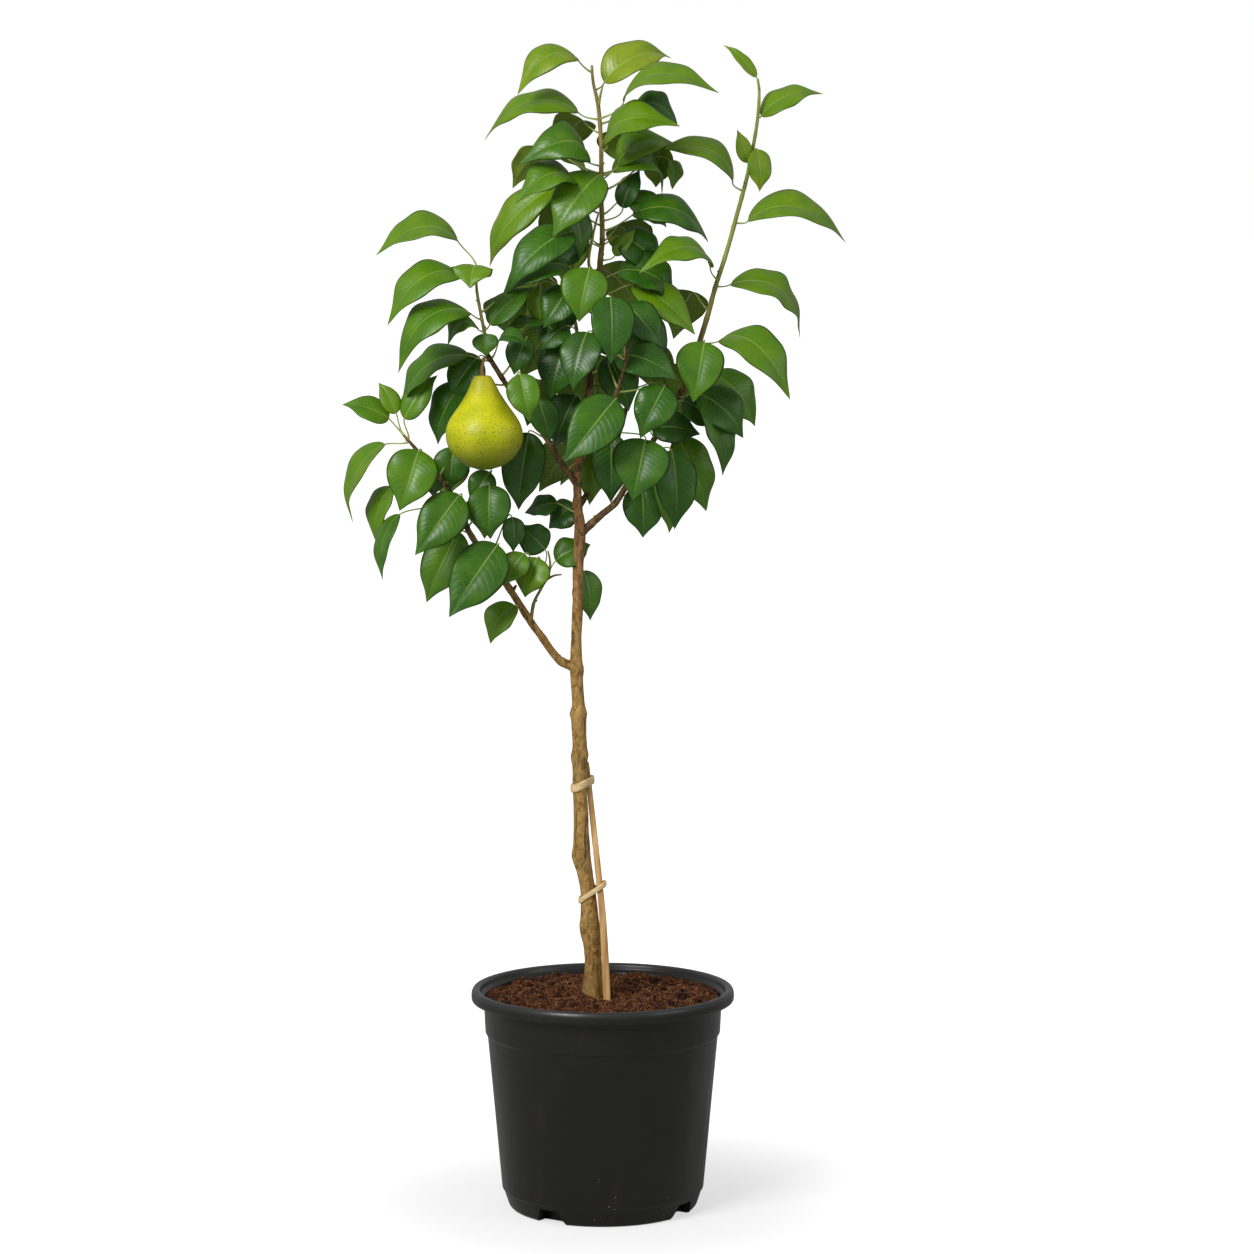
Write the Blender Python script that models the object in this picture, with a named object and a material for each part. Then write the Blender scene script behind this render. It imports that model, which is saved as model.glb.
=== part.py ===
"""A young pear tree in a round nursery container, with a cane, two ties and one fruit.

Tables are in centimetres, everything else in metres. +Z is up, -Y is the front and
the floor is z = 0. The container stands centred on the Z axis.
"""

import math

import bmesh
import bpy
from mathutils import Vector, noise

CM = 0.01
GAP = 0.0003  # left between neighbouring pieces

# Container, radii and heights
RIM_RADIUS = 0.130
RIM_INNER_RADIUS = 0.1217
POT_HEIGHT = 0.220
RIM_BEAD_HEIGHT = 0.0125
COLLAR_TOP_RADIUS = 0.118
COLLAR_FOOT_RADIUS = 0.1163
COLLAR_FOOT_Z = 0.1745
BODY_TOP_RADIUS = 0.1142
FOOT_RADIUS = 0.100
FOOT_Z = 0.0195
BASE_RADIUS = 0.0935
WALL = 0.0018
POT_SEGMENTS = 48

# Drain notches in the foot of the container
NOTCH_ANGLES = (-123.0, -33.0, 57.0, 147.0)
NOTCH_HEIGHT = 0.0145
NOTCH_TOP_WIDTH = 0.021
NOTCH_FOOT_WIDTH = 0.033
NOTCH_INNER_RADIUS = 0.078
DRAIN_HOLE_RADIUS = 0.004

# Potting mix, its top measured down from the rim
SOIL_DROP = 0.010
SOIL_EDGE_DROP = 0.0165
SOIL_TOP_Z = POT_HEIGHT - SOIL_DROP
SOIL_LUMP = 0.003
SOIL_SEGMENTS = 32
SOIL_RINGS = 6

# Fruit, as heights above its lowest point and radii there
PEAR_AXIS = (-11.3, -6.0)
PEAR_BOTTOM_Z = 73.65
PEAR_PROFILE = (
    (0.35, 0.0),
    (0.12, 0.75),
    (0.45, 1.75),
    (1.3, 2.85),
    (2.3, 3.5),
    (3.3, 3.74),
    (4.4, 3.55),
    (5.4, 2.98),
    (6.4, 2.28),
    (7.4, 1.66),
    (8.4, 1.16),
    (9.1, 0.70),
    (9.2, 0.0),
)
PEAR_SEGMENTS = 20

# Wood: points along each axis as x, y, z, radius
TRUNK = (
    (-0.95, 0.0, 15.0, 1.10),
    (-1.00, 0.0, 19.2, 1.42),
    (-1.00, 0.0, 21.2, 1.22),
    (-0.97, 0.0, 23.0, 0.94),
    (-0.97, 0.0, 24.8, 0.84),
    (-1.15, 0.0, 27.6, 0.90),
    (-1.30, 0.0, 29.5, 0.84),
    (-1.47, 0.0, 31.7, 0.74),
    (-1.80, 0.0, 33.6, 0.78),
    (-2.00, 0.0, 35.2, 0.82),
    (-2.13, 0.0, 38.8, 0.72),
    (-2.25, 0.0, 42.2, 0.71),
    (-2.24, 0.0, 45.0, 0.79),
    (-2.30, 0.0, 47.0, 0.68),
    (-2.36, 0.0, 49.3, 0.76),
    (-2.40, 0.1, 50.6, 0.62),
    (-2.58, 0.1, 53.6, 0.62),
    (-2.57, 0.1, 56.6, 0.52),
    (-2.48, 0.1, 59.0, 0.55),
    (-2.42, 0.1, 61.0, 0.50),
    (-2.36, 0.1, 64.2, 0.52),
    (-2.20, 0.1, 67.3, 0.55),
    (-2.42, 0.0, 70.0, 0.42),
    (-2.42, 0.0, 74.0, 0.38),
    (-2.0, -0.2, 77.6, 0.36),
    (-1.3, -0.3, 81.0, 0.35),
    (-0.9, -0.2, 84.5, 0.33),
    (-0.5, 0.1, 89.0, 0.30),
    (-0.2, 0.2, 93.5, 0.28),
    (0.0, 0.2, 96.0, 0.25),
    (-0.1, 0.1, 100.0, 0.23),
    (-0.1, 0.0, 104.5, 0.21),
    (-0.35, 0.0, 108.3, 0.19),
    (-0.85, 0.0, 110.7, 0.15),
    (-1.0, 0.0, 112.4, 0.12),
)
SHOOTS = {
    "low_left_limb": (
        (-2.6, 0.1, 53.89, 0.42),
        (-3.8, -0.2, 54.32, 0.40),
        (-4.7, -0.5, 55.16, 0.38),
        (-5.9, -0.9, 56.9, 0.37),
        (-7.1, -1.3, 58.64, 0.37),
        (-9.0, -1.9, 61.71, 0.34),
        (-10.7, -2.4, 64.16, 0.31),
        (-12.8, -3.0, 67.23, 0.29),
        (-14.0, -3.3, 70.16, 0.27),
        (-15.8, -3.5, 72.89, 0.22),
        (-17.8, -3.6, 75.3, 0.18),
        (-19.2, -3.6, 76.9, 0.14),
    ),
    "low_left_twig": (
        (-7.0, -1.3, 58.54, 0.16),
        (-6.7, -1.1, 60.32, 0.15),
        (-6.0, -0.9, 61.7, 0.14),
        (-5.3, -0.8, 62.89, 0.12),
    ),
    "upper_left_limb": (
        (-2.4, 0.0, 71.8, 0.30),
        (-3.9, -1.0, 73.81, 0.30),
        (-5.2, -2.0, 76.12, 0.28),
        (-7.0, -3.2, 78.85, 0.26),
        (-9.0, -4.5, 81.5, 0.25),
        (-11.1, -5.7, 84.93, 0.24),
    ),
    "left_top_shoot": (
        (-11.15, -5.75, 85.23, 0.20),
        (-11.25, -5.9, 86.75, 0.18),
        (-11.6, -5.9, 88.65, 0.16),
        (-12.0, -5.7, 91.03, 0.14),
        (-12.0, -5.5, 93.01, 0.11),
    ),
    "right_limb": (
        (-2.2, 0.0, 67, 0.36),
        (-0.2, 0.4, 68.76, 0.34),
        (1.2, 0.8, 69.91, 0.32),
        (2.3, 1.2, 71.57, 0.31),
        (4.4, 1.8, 75.1, 0.29),
        (6.65, 2.3, 78.65, 0.28),
        (7.6, 2.5, 80.52, 0.27),
        (8.7, 2.7, 83.2, 0.25),
    ),
    "right_shoot": (
        (8.82, 2.7, 83.5, 0.23),
        (9.6, 2.8, 85.89, 0.21),
        (10.4, 2.9, 88.58, 0.20),
        (11.1, 3.0, 91.17, 0.18),
        (12.1, 3.1, 94.26, 0.17),
        (13.1, 3.2, 97.85, 0.16),
        (14.2, 3.3, 102.04, 0.15),
        (15.05, 3.5, 106.61, 0.13),
        (15.3, 3.6, 109.7, 0.11),
        (15.15, 3.6, 111.2, 0.09),
    ),
    "front_limb": (
        (-2.42, 0.0, 73.2, 0.26),
        (-1.7, -2.0, 75.12, 0.24),
        (-0.4, -4.0, 77.64, 0.22),
        (1.2, -5.6, 80.62, 0.20),
        (2.2, -6.4, 83.71, 0.17),
        (2.6, -6.8, 86.35, 0.12),
    ),
    "back_limb": (
        (-1.2, 0.0, 81.2, 0.24),
        (-1.6, 2.6, 82.91, 0.22),
        (-2.4, 5.6, 85.78, 0.20),
        (-3.0, 8.2, 89.5, 0.16),
        (-3.0, 9.6, 93.54, 0.12),
    ),
    "back_low_limb": (
        (-2.4, 0.0, 69.6, 0.30),
        (-1.4, 2.6, 70.91, 0.28),
        (0.4, 5.6, 73.58, 0.26),
        (2.0, 8.4, 77.47, 0.22),
        (2.8, 10.2, 81.48, 0.16),
    ),
}
LIMB_ROOTS = {
    "low_left_limb": "trunk",
    "upper_left_limb": "trunk",
    "right_limb": "trunk",
    "front_limb": "trunk",
    "back_limb": "trunk",
    "back_low_limb": "trunk",
    "low_left_twig": "low_left_limb",
}
YOUNG_SHOOTS = ("low_left_twig", "left_top_shoot", "right_shoot")
TRUNK_SIDES = 10
SHOOT_SIDES = 6

# Cane and ties
STAKE = (
    (0.50, -1.36, 15.2, 0.54),
    (0.44, -1.40, 20.5, 0.52),
    (0.10, -1.06, 27.6, 0.49),
    (-0.24, -0.58, 31.7, 0.45),
    (-1.34, 0.80, 42.0, 0.38),
    (-1.60, 1.06, 44.3, 0.34),
)
TIE_THICKNESS = 0.0016
# name, height at the trunk, height at the cane, band height
TIES = (
    ("tie_upper", 42.15, 42.45, 0.85),
    ("tie_lower", 31.3, 32.1, 0.62),
)

# Leaves. Each row: name, shoot it grows from, blade base, blade tip, blade width,
# height of its arch, tilt of the upper face from straight up towards the front in
# degrees, and turn of that tilt towards +X in degrees.
LEAVES = (
    ("leaf_top_1", "trunk", (-2.4, -0.3, 113.0), (-8.2, -2.5, 109.9), 4.2, 2.0, 34, 0),
    ("leaf_top_2", "trunk", (0.2, 0.9, 110.8), (6.7, 3.8, 113.9), 4.4, 1.5, 46, 0),
    ("leaf_top_3", "trunk", (2.1, -1.5, 109.0), (11.1, -4.4, 110.0), 4.8, 2.4, 30, 0),
    ("leaf_top_4", "trunk", (0.5, -1.3, 104.8), (7.2, -5.0, 106.9), 4.8, 2.2, 46, 0),
    ("leaf_top_5", "trunk", (-2.3, 0.1, 107.9), (-11.7, 1.5, 106.1), 4.7, 2.2, 31, 0),
    ("leaf_top_6", "trunk", (-1.6, -1.2, 103.5), (-7.6, -5.0, 103.5), 5.0, 2.5, 54, 0),
    ("leaf_top_7", "trunk", (0.9, 1.4, 102.2), (6.2, 4.0, 100.6), 4.6, 2.6, 38, 0),
    ("leaf_top_8", "trunk", (-4.4, 2.2, 100.8), (-11.8, 4.0, 93.4), 4.2, 1.3, 50, -10),
    ("leaf_mid_1", "trunk", (-2.8, -2.6, 96.4), (-9.2, -6.0, 91.2), 4.4, 1.5, 58, -10),
    ("leaf_mid_2", "trunk", (-1.2, -4.2, 93.0), (-2.2, -5.8, 88.0), 4.7, 0.6, 78, 0),
    ("leaf_mid_3", "trunk", (2.9, 2.0, 98.0), (10.5, 4.0, 95.5), 4.8, 2.2, 38, 0),
    ("leaf_mid_4", "front_limb", (0.8, -6.6, 90.3), (0.9, -8.4, 84.1), 4.3, 0.7, 72, 10),
    ("leaf_mid_5", "front_limb", (1.3, -7.8, 80.6), (-3.6, -10.0, 74.8), 4.9, 0.7, 76, 0),
    ("leaf_mid_6", "front_limb", (6.0, -5.4, 81.7), (3.7, -7.4, 77.0), 4.2, 0.6, 76, 0),
    ("leaf_low_1", "front_limb", (4.2, -5.6, 76.6), (2.9, -7.6, 71.0), 5.6, 0.6, 78, 0),
    ("leaf_low_2", "right_limb", (7.3, 4.2, 76.2), (10.5, 5.0, 68.8), 4.3, 0.8, 70, 15),
    ("leaf_low_3", "right_limb", (6.7, -1.6, 75.3), (7.2, -2.6, 67.7), 4.3, 0.9, 66, 15),
    ("leaf_right_1", "right_shoot", (12.7, 2.6, 101.2), (5.1, 1.0, 104.6), 4.2, 2.3, 34, 0),
    ("leaf_right_2", "right_shoot", (10.5, 1.0, 93.0), (3.7, -3.0, 93.1), 4.4, 2.3, 36, 0),
    ("leaf_right_3", "right_shoot", (12.5, 3.6, 91.2), (19.9, 6.0, 86.3), 4.6, 2.7, 34, 0),
    ("leaf_right_4", "right_shoot", (11.6, 1.6, 85.9), (18.3, -2.0, 80.5), 4.9, 2.7, 36, 0),
    ("leaf_right_5", "right_shoot", (14.2, 3.2, 97.4), (24.0, 4.5, 95.7), 4.8, 2.6, 33, 0),
    ("leaf_right_6", "right_shoot", (15.5, 3.8, 107.6), (21.4, 5.0, 110.4), 3.8, 0.9, 30, 0),
    ("leaf_right_7", "right_shoot", (9.9, -2.0, 85.8), (8.8, -4.2, 80.2), 4.7, 0.6, 78, 0),
    ("leaf_right_8", "right_limb", (9.9, 0.6, 80.3), (12.4, 0.2, 72.9), 4.5, 0.8, 60, 45),
    ("leaf_left_1", "left_top_shoot", (-13.8, -5.2, 95.6), (-21.6, -6.5, 94.6), 4.5, 2.2, 33, 0),
    ("leaf_left_2", "left_top_shoot", (-13.4, -6.6, 92.3), (-20.5, -9.0, 88.0), 4.6, 2.4, 34, 0),
    ("leaf_left_3", "left_top_shoot", (-12.6, -7.4, 88.8), (-19.7, -9.5, 83.9), 4.6, 2.6, 34, 0),
    ("leaf_left_4", "upper_left_limb", (-12.8, -4.0, 84.6), (-19.9, -2.0, 79.3), 4.6, 2.0, 32, 0),
    ("leaf_left_5", "upper_left_limb", (-7.8, -7.4, 83.0), (-6.9, -8.4, 78.5), 3.3, 0.4, 76, 0),
    ("leaf_left_6", "upper_left_limb", (-7.2, -1.0, 77.0), (-8.2, -1.2, 69.4), 4.3, 0.6, 78, 0),
    ("leaf_left_7", "low_left_limb", (-10.9, -4.2, 72.1), (-10.8, -5.2, 67.0), 4.2, 0.5, 78, 0),
    ("leaf_left_8", "low_left_limb", (-17.6, -6.0, 75.6), (-19.4, -8.0, 70.0), 5.0, 0.6, 78, 0),
    ("leaf_left_9", "low_left_limb", (-21.0, -3.2, 76.0), (-25.2, -2.0, 68.7), 4.2, 1.2, 52, -55),
    ("leaf_left_10", "low_left_limb", (-19.6, -4.4, 69.3), (-21.6, -5.0, 63.1), 4.0, 0.8, 60, -62),
    ("leaf_left_11", "low_left_limb", (-13.7, -6.0, 71.3), (-17.9, -8.4, 65.8), 4.6, 0.6, 76, 0),
    ("leaf_left_12", "low_left_limb", (-14.0, -2.6, 67.5), (-17.2, -3.2, 60.6), 4.4, 0.6, 74, 0),
    ("leaf_left_13", "low_left_limb", (-10.1, -5.0, 66.4), (-14.7, -7.8, 59.7), 5.2, 0.7, 78, 0),
    ("leaf_left_14", "low_left_limb", (-20.6, -3.6, 78.5), (-25.0, -4.0, 80.1), 3.2, 0.4, 44, 0),
    ("leaf_back_1", "back_limb", (-5.0, 8.4, 89.7), (-9.0, 11.6, 84.3), 4.6, 1.6, -45, 0),
    ("leaf_back_2", "back_limb", (-0.6, 9.4, 92.6), (4.2, 11.8, 87.7), 4.6, 1.6, -45, 0),
    ("leaf_back_3", "back_low_limb", (0.2, 9.4, 76.4), (-4.4, 12.0, 71.3), 4.8, 1.4, -50, 0),
    ("leaf_back_4", "back_low_limb", (5.0, 10.4, 81.3), (8.6, 12.0, 75.5), 4.8, 1.4, -50, 0),
)
PETIOLE_HALF = 0.09
WALK_BACK = 0.4  # how far before its nearest place on the shoot a leaf stalk starts
BLADE_HALF_THICKNESS = 0.045
BLADE_FOLD = 0.22
PETIOLE_STEPS = 3
BLADE_STATIONS = (0.03, 0.14, 0.34, 0.56, 0.78, 0.93, 1.0)

# Materials: colour, roughness, metallic
LOOKS = {
    "black_plastic": ((0.014, 0.014, 0.012), 0.40, 0.0),
    "potting_mix": ((0.085, 0.030, 0.014), 0.95, 0.0),
    "bark": ((0.190, 0.130, 0.065), 0.80, 0.0),
    "young_wood": ((0.210, 0.190, 0.060), 0.55, 0.0),
    "cane": ((0.480, 0.260, 0.095), 0.60, 0.0),
    "straw_tie": ((0.600, 0.460, 0.220), 0.70, 0.0),
    "pear_skin": ((0.420, 0.500, 0.060), 0.38, 0.0),
    "leaf": ((0.055, 0.180, 0.020), 0.36, 0.0),
}


def clear_scene():
    for obj in list(bpy.data.objects):
        bpy.data.objects.remove(obj, do_unlink=True)


def make_material(name):
    """Plain material of one of the kinds in LOOKS, made once."""
    found = bpy.data.materials.get(name)
    if found:
        return found
    colour, roughness, metallic = LOOKS[name]
    material = bpy.data.materials.new(name)
    material.use_nodes = True
    shader = material.node_tree.nodes["Principled BSDF"]
    shader.inputs["Base Color"].default_value = colour + (1.0,)
    shader.inputs["Roughness"].default_value = roughness
    shader.inputs["Metallic"].default_value = metallic
    material.diffuse_color = colour + (1.0,)
    return material


def dress(obj, look, sharp_angle=40.0):
    """Material and smooth shading, with edges over sharp_angle kept crisp."""
    obj.data.materials.append(make_material(look))
    obj.data.shade_smooth()
    obj.data.set_sharp_from_angle(angle=math.radians(sharp_angle))
    return obj


def add_object(name, mesh_data):
    """Turn a bmesh into a named object with its faces pointing outwards."""
    bmesh.ops.recalc_face_normals(mesh_data, faces=mesh_data.faces)
    if mesh_data.calc_volume(signed=True) < 0.0:
        bmesh.ops.reverse_faces(mesh_data, faces=mesh_data.faces)
    mesh = bpy.data.meshes.new(name)
    mesh_data.to_mesh(mesh)
    mesh_data.free()
    obj = bpy.data.objects.new(name, mesh)
    bpy.context.scene.collection.objects.link(obj)
    return obj


def add_cutter(name, mesh_data):
    obj = add_object(name, mesh_data)
    obj.hide_render = True
    obj.display_type = "WIRE"
    return obj


def boolean(obj, other, operation="DIFFERENCE"):
    modifier = obj.modifiers.new(other.name, "BOOLEAN")
    modifier.operation = operation
    modifier.solver = "EXACT"
    modifier.object = other


def bridge(mesh_data, first, second):
    """Join two rings of vertices with quads."""
    count = len(first)
    for i in range(count):
        j = (i + 1) % count
        mesh_data.faces.new((first[i], first[j], second[j], second[i]))


def loft(rings):
    """Closed solid through rings of points, with a flat cap at each end."""
    mesh_data = bmesh.new()
    made = [[mesh_data.verts.new(point) for point in ring] for ring in rings]
    for first, second in zip(made, made[1:]):
        bridge(mesh_data, first, second)
    mesh_data.faces.new(made[0])
    mesh_data.faces.new(made[-1])
    return mesh_data


def revolve(profile, segments):
    """Closed solid of revolution about Z from (radius, height) points.

    The profile starts and ends on the axis.
    """
    mesh_data = bmesh.new()
    rings = []
    for radius, height in profile:
        if radius == 0.0:
            rings.append(mesh_data.verts.new((0.0, 0.0, height)))
            continue
        ring = []
        for i in range(segments):
            angle = 2.0 * math.pi * i / segments
            ring.append(mesh_data.verts.new((radius * math.cos(angle), radius * math.sin(angle), height)))
        rings.append(ring)
    for first, second in zip(rings, rings[1:]):
        if isinstance(first, list) and isinstance(second, list):
            bridge(mesh_data, first, second)
            continue
        pole, ring = (second, first) if isinstance(first, list) else (first, second)
        for i in range(segments):
            mesh_data.faces.new((pole, ring[i], ring[(i + 1) % segments]))
    return mesh_data


def smooth_path(points, steps):
    """Catmull-Rom curve through (x, y, z, radius) rows in centimetres."""
    rows = [(Vector(row[:3]) * CM, row[3] * CM) for row in points]
    path = []
    for i in range(len(rows) - 1):
        p0 = rows[max(i - 1, 0)][0]
        p1, r1 = rows[i]
        p2, r2 = rows[i + 1]
        p3 = rows[min(i + 2, len(rows) - 1)][0]
        for step in range(steps):
            t = step / steps
            point = 0.5 * (
                2.0 * p1
                + (p2 - p0) * t
                + (2.0 * p0 - 5.0 * p1 + 4.0 * p2 - p3) * t * t
                + (3.0 * p1 - p0 - 3.0 * p2 + p3) * t * t * t
            )
            path.append((point, r1 + (r2 - r1) * t))
    path.append(rows[-1])
    return path


def tube(path, sides, extra=0.0):
    """Closed tube along (point, radius) rows; extra widens it. A four-sided one faces the front."""
    count = len(path)
    rings = []
    side = None
    for i, (point, radius) in enumerate(path):
        before = path[max(i - 1, 0)][0]
        after = path[min(i + 1, count - 1)][0]
        along = (after - before).normalized()
        if side is None:
            side = Vector((1.0, -1.0, 0.0)) if sides == 4 else along.orthogonal()
        side = (side - along * side.dot(along)).normalized()
        other = along.cross(side)
        ring = []
        for k in range(sides):
            angle = 2.0 * math.pi * k / sides
            offset = side * math.cos(angle) + other * math.sin(angle)
            ring.append(point + offset * (radius + extra))
        rings.append(ring)
    return loft(rings)


def notch_block(angle, margin):
    """Trapezoid block that fills one drain notch, grown by margin on every side."""
    foot = NOTCH_FOOT_WIDTH / 2.0 + margin
    top = NOTCH_TOP_WIDTH / 2.0 + margin
    z_low = -0.01
    z_high = NOTCH_HEIGHT + margin
    inner = NOTCH_INNER_RADIUS - margin
    outer = RIM_RADIUS
    turn = math.radians(angle)
    forward = Vector((math.cos(turn), math.sin(turn), 0.0))
    across = Vector((-math.sin(turn), math.cos(turn), 0.0))
    rings = []
    for reach in (inner, outer):
        ring = []
        for offset, height in (
            (-foot, z_low),
            (foot, z_low),
            (foot, 0.0),
            (top, z_high),
            (-top, z_high),
            (-foot, 0.0),
        ):
            ring.append(forward * reach + across * offset + Vector((0.0, 0.0, height)))
        rings.append(ring)
    return loft(rings)


def cavity_profile(gap):
    """Inside of the container, from the floor to the step under the rim."""
    return (
        (0.0, WALL + 0.0002 + gap),
        (BASE_RADIUS - WALL - gap, WALL + 0.0002 + gap),
        (FOOT_RADIUS - WALL - gap, FOOT_Z),
        (BODY_TOP_RADIUS - WALL - gap, COLLAR_FOOT_Z - 0.002),
        (COLLAR_FOOT_RADIUS - WALL - gap, COLLAR_FOOT_Z + 0.003),
    )


def make_pot():
    top = POT_HEIGHT
    bead = POT_HEIGHT - RIM_BEAD_HEIGHT
    profile = (
        (0.0, 0.0),
        (BASE_RADIUS - 0.003, 0.0),
        (BASE_RADIUS, 0.003),
        (FOOT_RADIUS - 0.0014, FOOT_Z - 0.0012),
        (FOOT_RADIUS, FOOT_Z),
        (BODY_TOP_RADIUS, COLLAR_FOOT_Z - 0.001),
        (COLLAR_FOOT_RADIUS, COLLAR_FOOT_Z + 0.001),
        (COLLAR_TOP_RADIUS, top - 0.0098),
        (RIM_INNER_RADIUS - 0.0004, top - 0.0086),
        (RIM_INNER_RADIUS + 0.0014, top - 0.0032),
        (RIM_RADIUS - 0.0026, top - 0.0030),
        (RIM_RADIUS - 0.0020, bead + 0.0008),
        (RIM_RADIUS - 0.0011, bead),
        (RIM_RADIUS, bead + 0.0018),
        (RIM_RADIUS, top - 0.0045),
        (RIM_RADIUS - 0.0015, top - 0.001),
        (RIM_RADIUS - 0.004, top),
        (RIM_INNER_RADIUS, top - 0.0012),
        (RIM_INNER_RADIUS - 0.0012, top - 0.006),
        (COLLAR_TOP_RADIUS + 0.001, top - 0.0068),
        (COLLAR_TOP_RADIUS - WALL, top - 0.009),
    ) + tuple(reversed(cavity_profile(0.0)))
    pot = dress(add_object("pot", revolve(profile, POT_SEGMENTS)), "black_plastic")
    # The notch roofs are added first, then the notches themselves are cut.
    for number, angle in enumerate(NOTCH_ANGLES):
        shell = add_cutter("notch_shell_%d" % number, notch_shell(angle))
        boolean(pot, shell, "UNION")
    for number, angle in enumerate(NOTCH_ANGLES):
        block = add_cutter("notch_%d" % number, notch_block(angle, 0.0))
        boolean(pot, block)
    for number, angle in enumerate(NOTCH_ANGLES):
        hole = add_cutter("drain_%d" % number, drain_hole(angle))
        boolean(pot, hole)
    return pot


def notch_shell(angle):
    """The raised floor over one drain notch, ending inside the wall."""
    foot = NOTCH_FOOT_WIDTH / 2.0 + WALL
    top = NOTCH_TOP_WIDTH / 2.0 + WALL
    inner = NOTCH_INNER_RADIUS - WALL
    turn = math.radians(angle)
    forward = Vector((math.cos(turn), math.sin(turn), 0.0))
    across = Vector((-math.sin(turn), math.cos(turn), 0.0))
    z_low = 0.0008
    z_high = NOTCH_HEIGHT + WALL
    low_reach = BASE_RADIUS - 0.0012
    high_reach = FOOT_RADIUS - 0.0035
    rings = []
    for low, high in ((inner, inner), (low_reach, high_reach)):
        ring = []
        for offset, height, reach in ((-foot, z_low, low), (foot, z_low, low), (top, z_high, high), (-top, z_high, high)):
            distance = math.sqrt(max(reach * reach - offset * offset, 0.0)) if reach > inner else reach
            ring.append(forward * distance + across * offset + Vector((0.0, 0.0, height)))
        rings.append(ring)
    return loft(rings)


def drain_hole(angle):
    turn = math.radians(angle)
    centre = Vector((math.cos(turn), math.sin(turn), 0.0)) * 0.086
    path = (
        (centre + Vector((0.0, 0.0, 0.008)), DRAIN_HOLE_RADIUS),
        (centre + Vector((0.0, 0.0, 0.020)), DRAIN_HOLE_RADIUS),
    )
    return tube(path, 8)


def soil_height(x, y):
    lump = noise.noise(Vector((x * 45.0, y * 45.0, 0.7)))
    fine = noise.noise(Vector((x * 110.0, y * 110.0, 3.1)))
    return SOIL_TOP_Z + SOIL_LUMP * (0.9 * lump + 0.5 * fine)


def make_soil(trunk_path, stake_path):
    mesh_data = bmesh.new()
    gap = 0.0005
    side_profile = cavity_profile(gap) + ((COLLAR_TOP_RADIUS - WALL - 0.0010, POT_HEIGHT - SOIL_EDGE_DROP),)
    rings = []
    bottom = mesh_data.verts.new((0.0, 0.0, side_profile[0][1]))
    for radius, height in side_profile[1:]:
        rings.append([(radius, height)] * SOIL_SEGMENTS)
    outer = side_profile[-1][0]
    for ring in range(SOIL_RINGS, 0, -1):
        radius = (outer - 0.002) * ring / SOIL_RINGS
        rings.append([(radius, None)] * SOIL_SEGMENTS)
    made = []
    for ring in rings:
        row = []
        for i, (radius, height) in enumerate(ring):
            angle = 2.0 * math.pi * i / SOIL_SEGMENTS
            x = radius * math.cos(angle)
            y = radius * math.sin(angle)
            z = soil_height(x, y) if height is None else height
            row.append(mesh_data.verts.new((x, y, z)))
        made.append(row)
    for first, second in zip(made, made[1:]):
        bridge(mesh_data, first, second)
    centre = mesh_data.verts.new((0.0, 0.0, soil_height(0.0, 0.0)))
    for i in range(SOIL_SEGMENTS):
        j = (i + 1) % SOIL_SEGMENTS
        mesh_data.faces.new((bottom, made[0][i], made[0][j]))
        mesh_data.faces.new((centre, made[-1][i], made[-1][j]))
    soil = dress(add_object("soil", mesh_data), "potting_mix", 60.0)
    for number, angle in enumerate(NOTCH_ANGLES):
        block = add_cutter("soil_notch_%d" % number, notch_block(angle, WALL + 0.0006))
        boolean(soil, block)
    for name, path, sides in (("trunk", trunk_path, TRUNK_SIDES), ("stake", stake_path, 4)):
        below = path[0][0] - (path[1][0] - path[0][0]).normalized() * 0.001
        widened = [(below, path[0][1])] + list(path)
        hole = add_cutter("soil_hole_" + name, tube(widened[:14], sides, 0.0008))
        boolean(soil, hole)
    return soil


def make_wood():
    """Trunk and shoots. Returns the path of every one by name."""
    paths = {"trunk": smooth_path(TRUNK, 1)}
    dress(add_object("trunk", tube(paths["trunk"], TRUNK_SIDES)), "bark")
    for name, points in SHOOTS.items():
        paths[name] = smooth_path(points, 1)
        shoot = add_object(name, tube(paths[name], SHOOT_SIDES))
        dress(shoot, "young_wood" if name in YOUNG_SHOOTS else "bark", 65.0)
        if name in LIMB_ROOTS:
            root = LIMB_ROOTS[name]
            sides = TRUNK_SIDES if root == "trunk" else SHOOT_SIDES
            cutter = add_cutter(name + "_root", tube(paths[root], sides, 0.0004))
            boolean(shoot, cutter)
    return paths


def belt(centres, extra):
    """Convex loop round two circles, as (x, y) points."""
    points = []
    for i in range(24):
        angle = 2.0 * math.pi * i / 24
        direction = Vector((math.cos(angle), math.sin(angle)))
        centre, radius = max(centres, key=lambda row: row[0].dot(direction) + row[1])
        points.append(centre + direction * (radius + extra))
    return points


def at_height(path, height):
    for (low, low_radius), (high, high_radius) in zip(path, path[1:]):
        if low.z <= height <= high.z:
            t = (height - low.z) / (high.z - low.z)
            return low.lerp(high, t), low_radius + (high_radius - low_radius) * t
    return path[-1]


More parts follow.
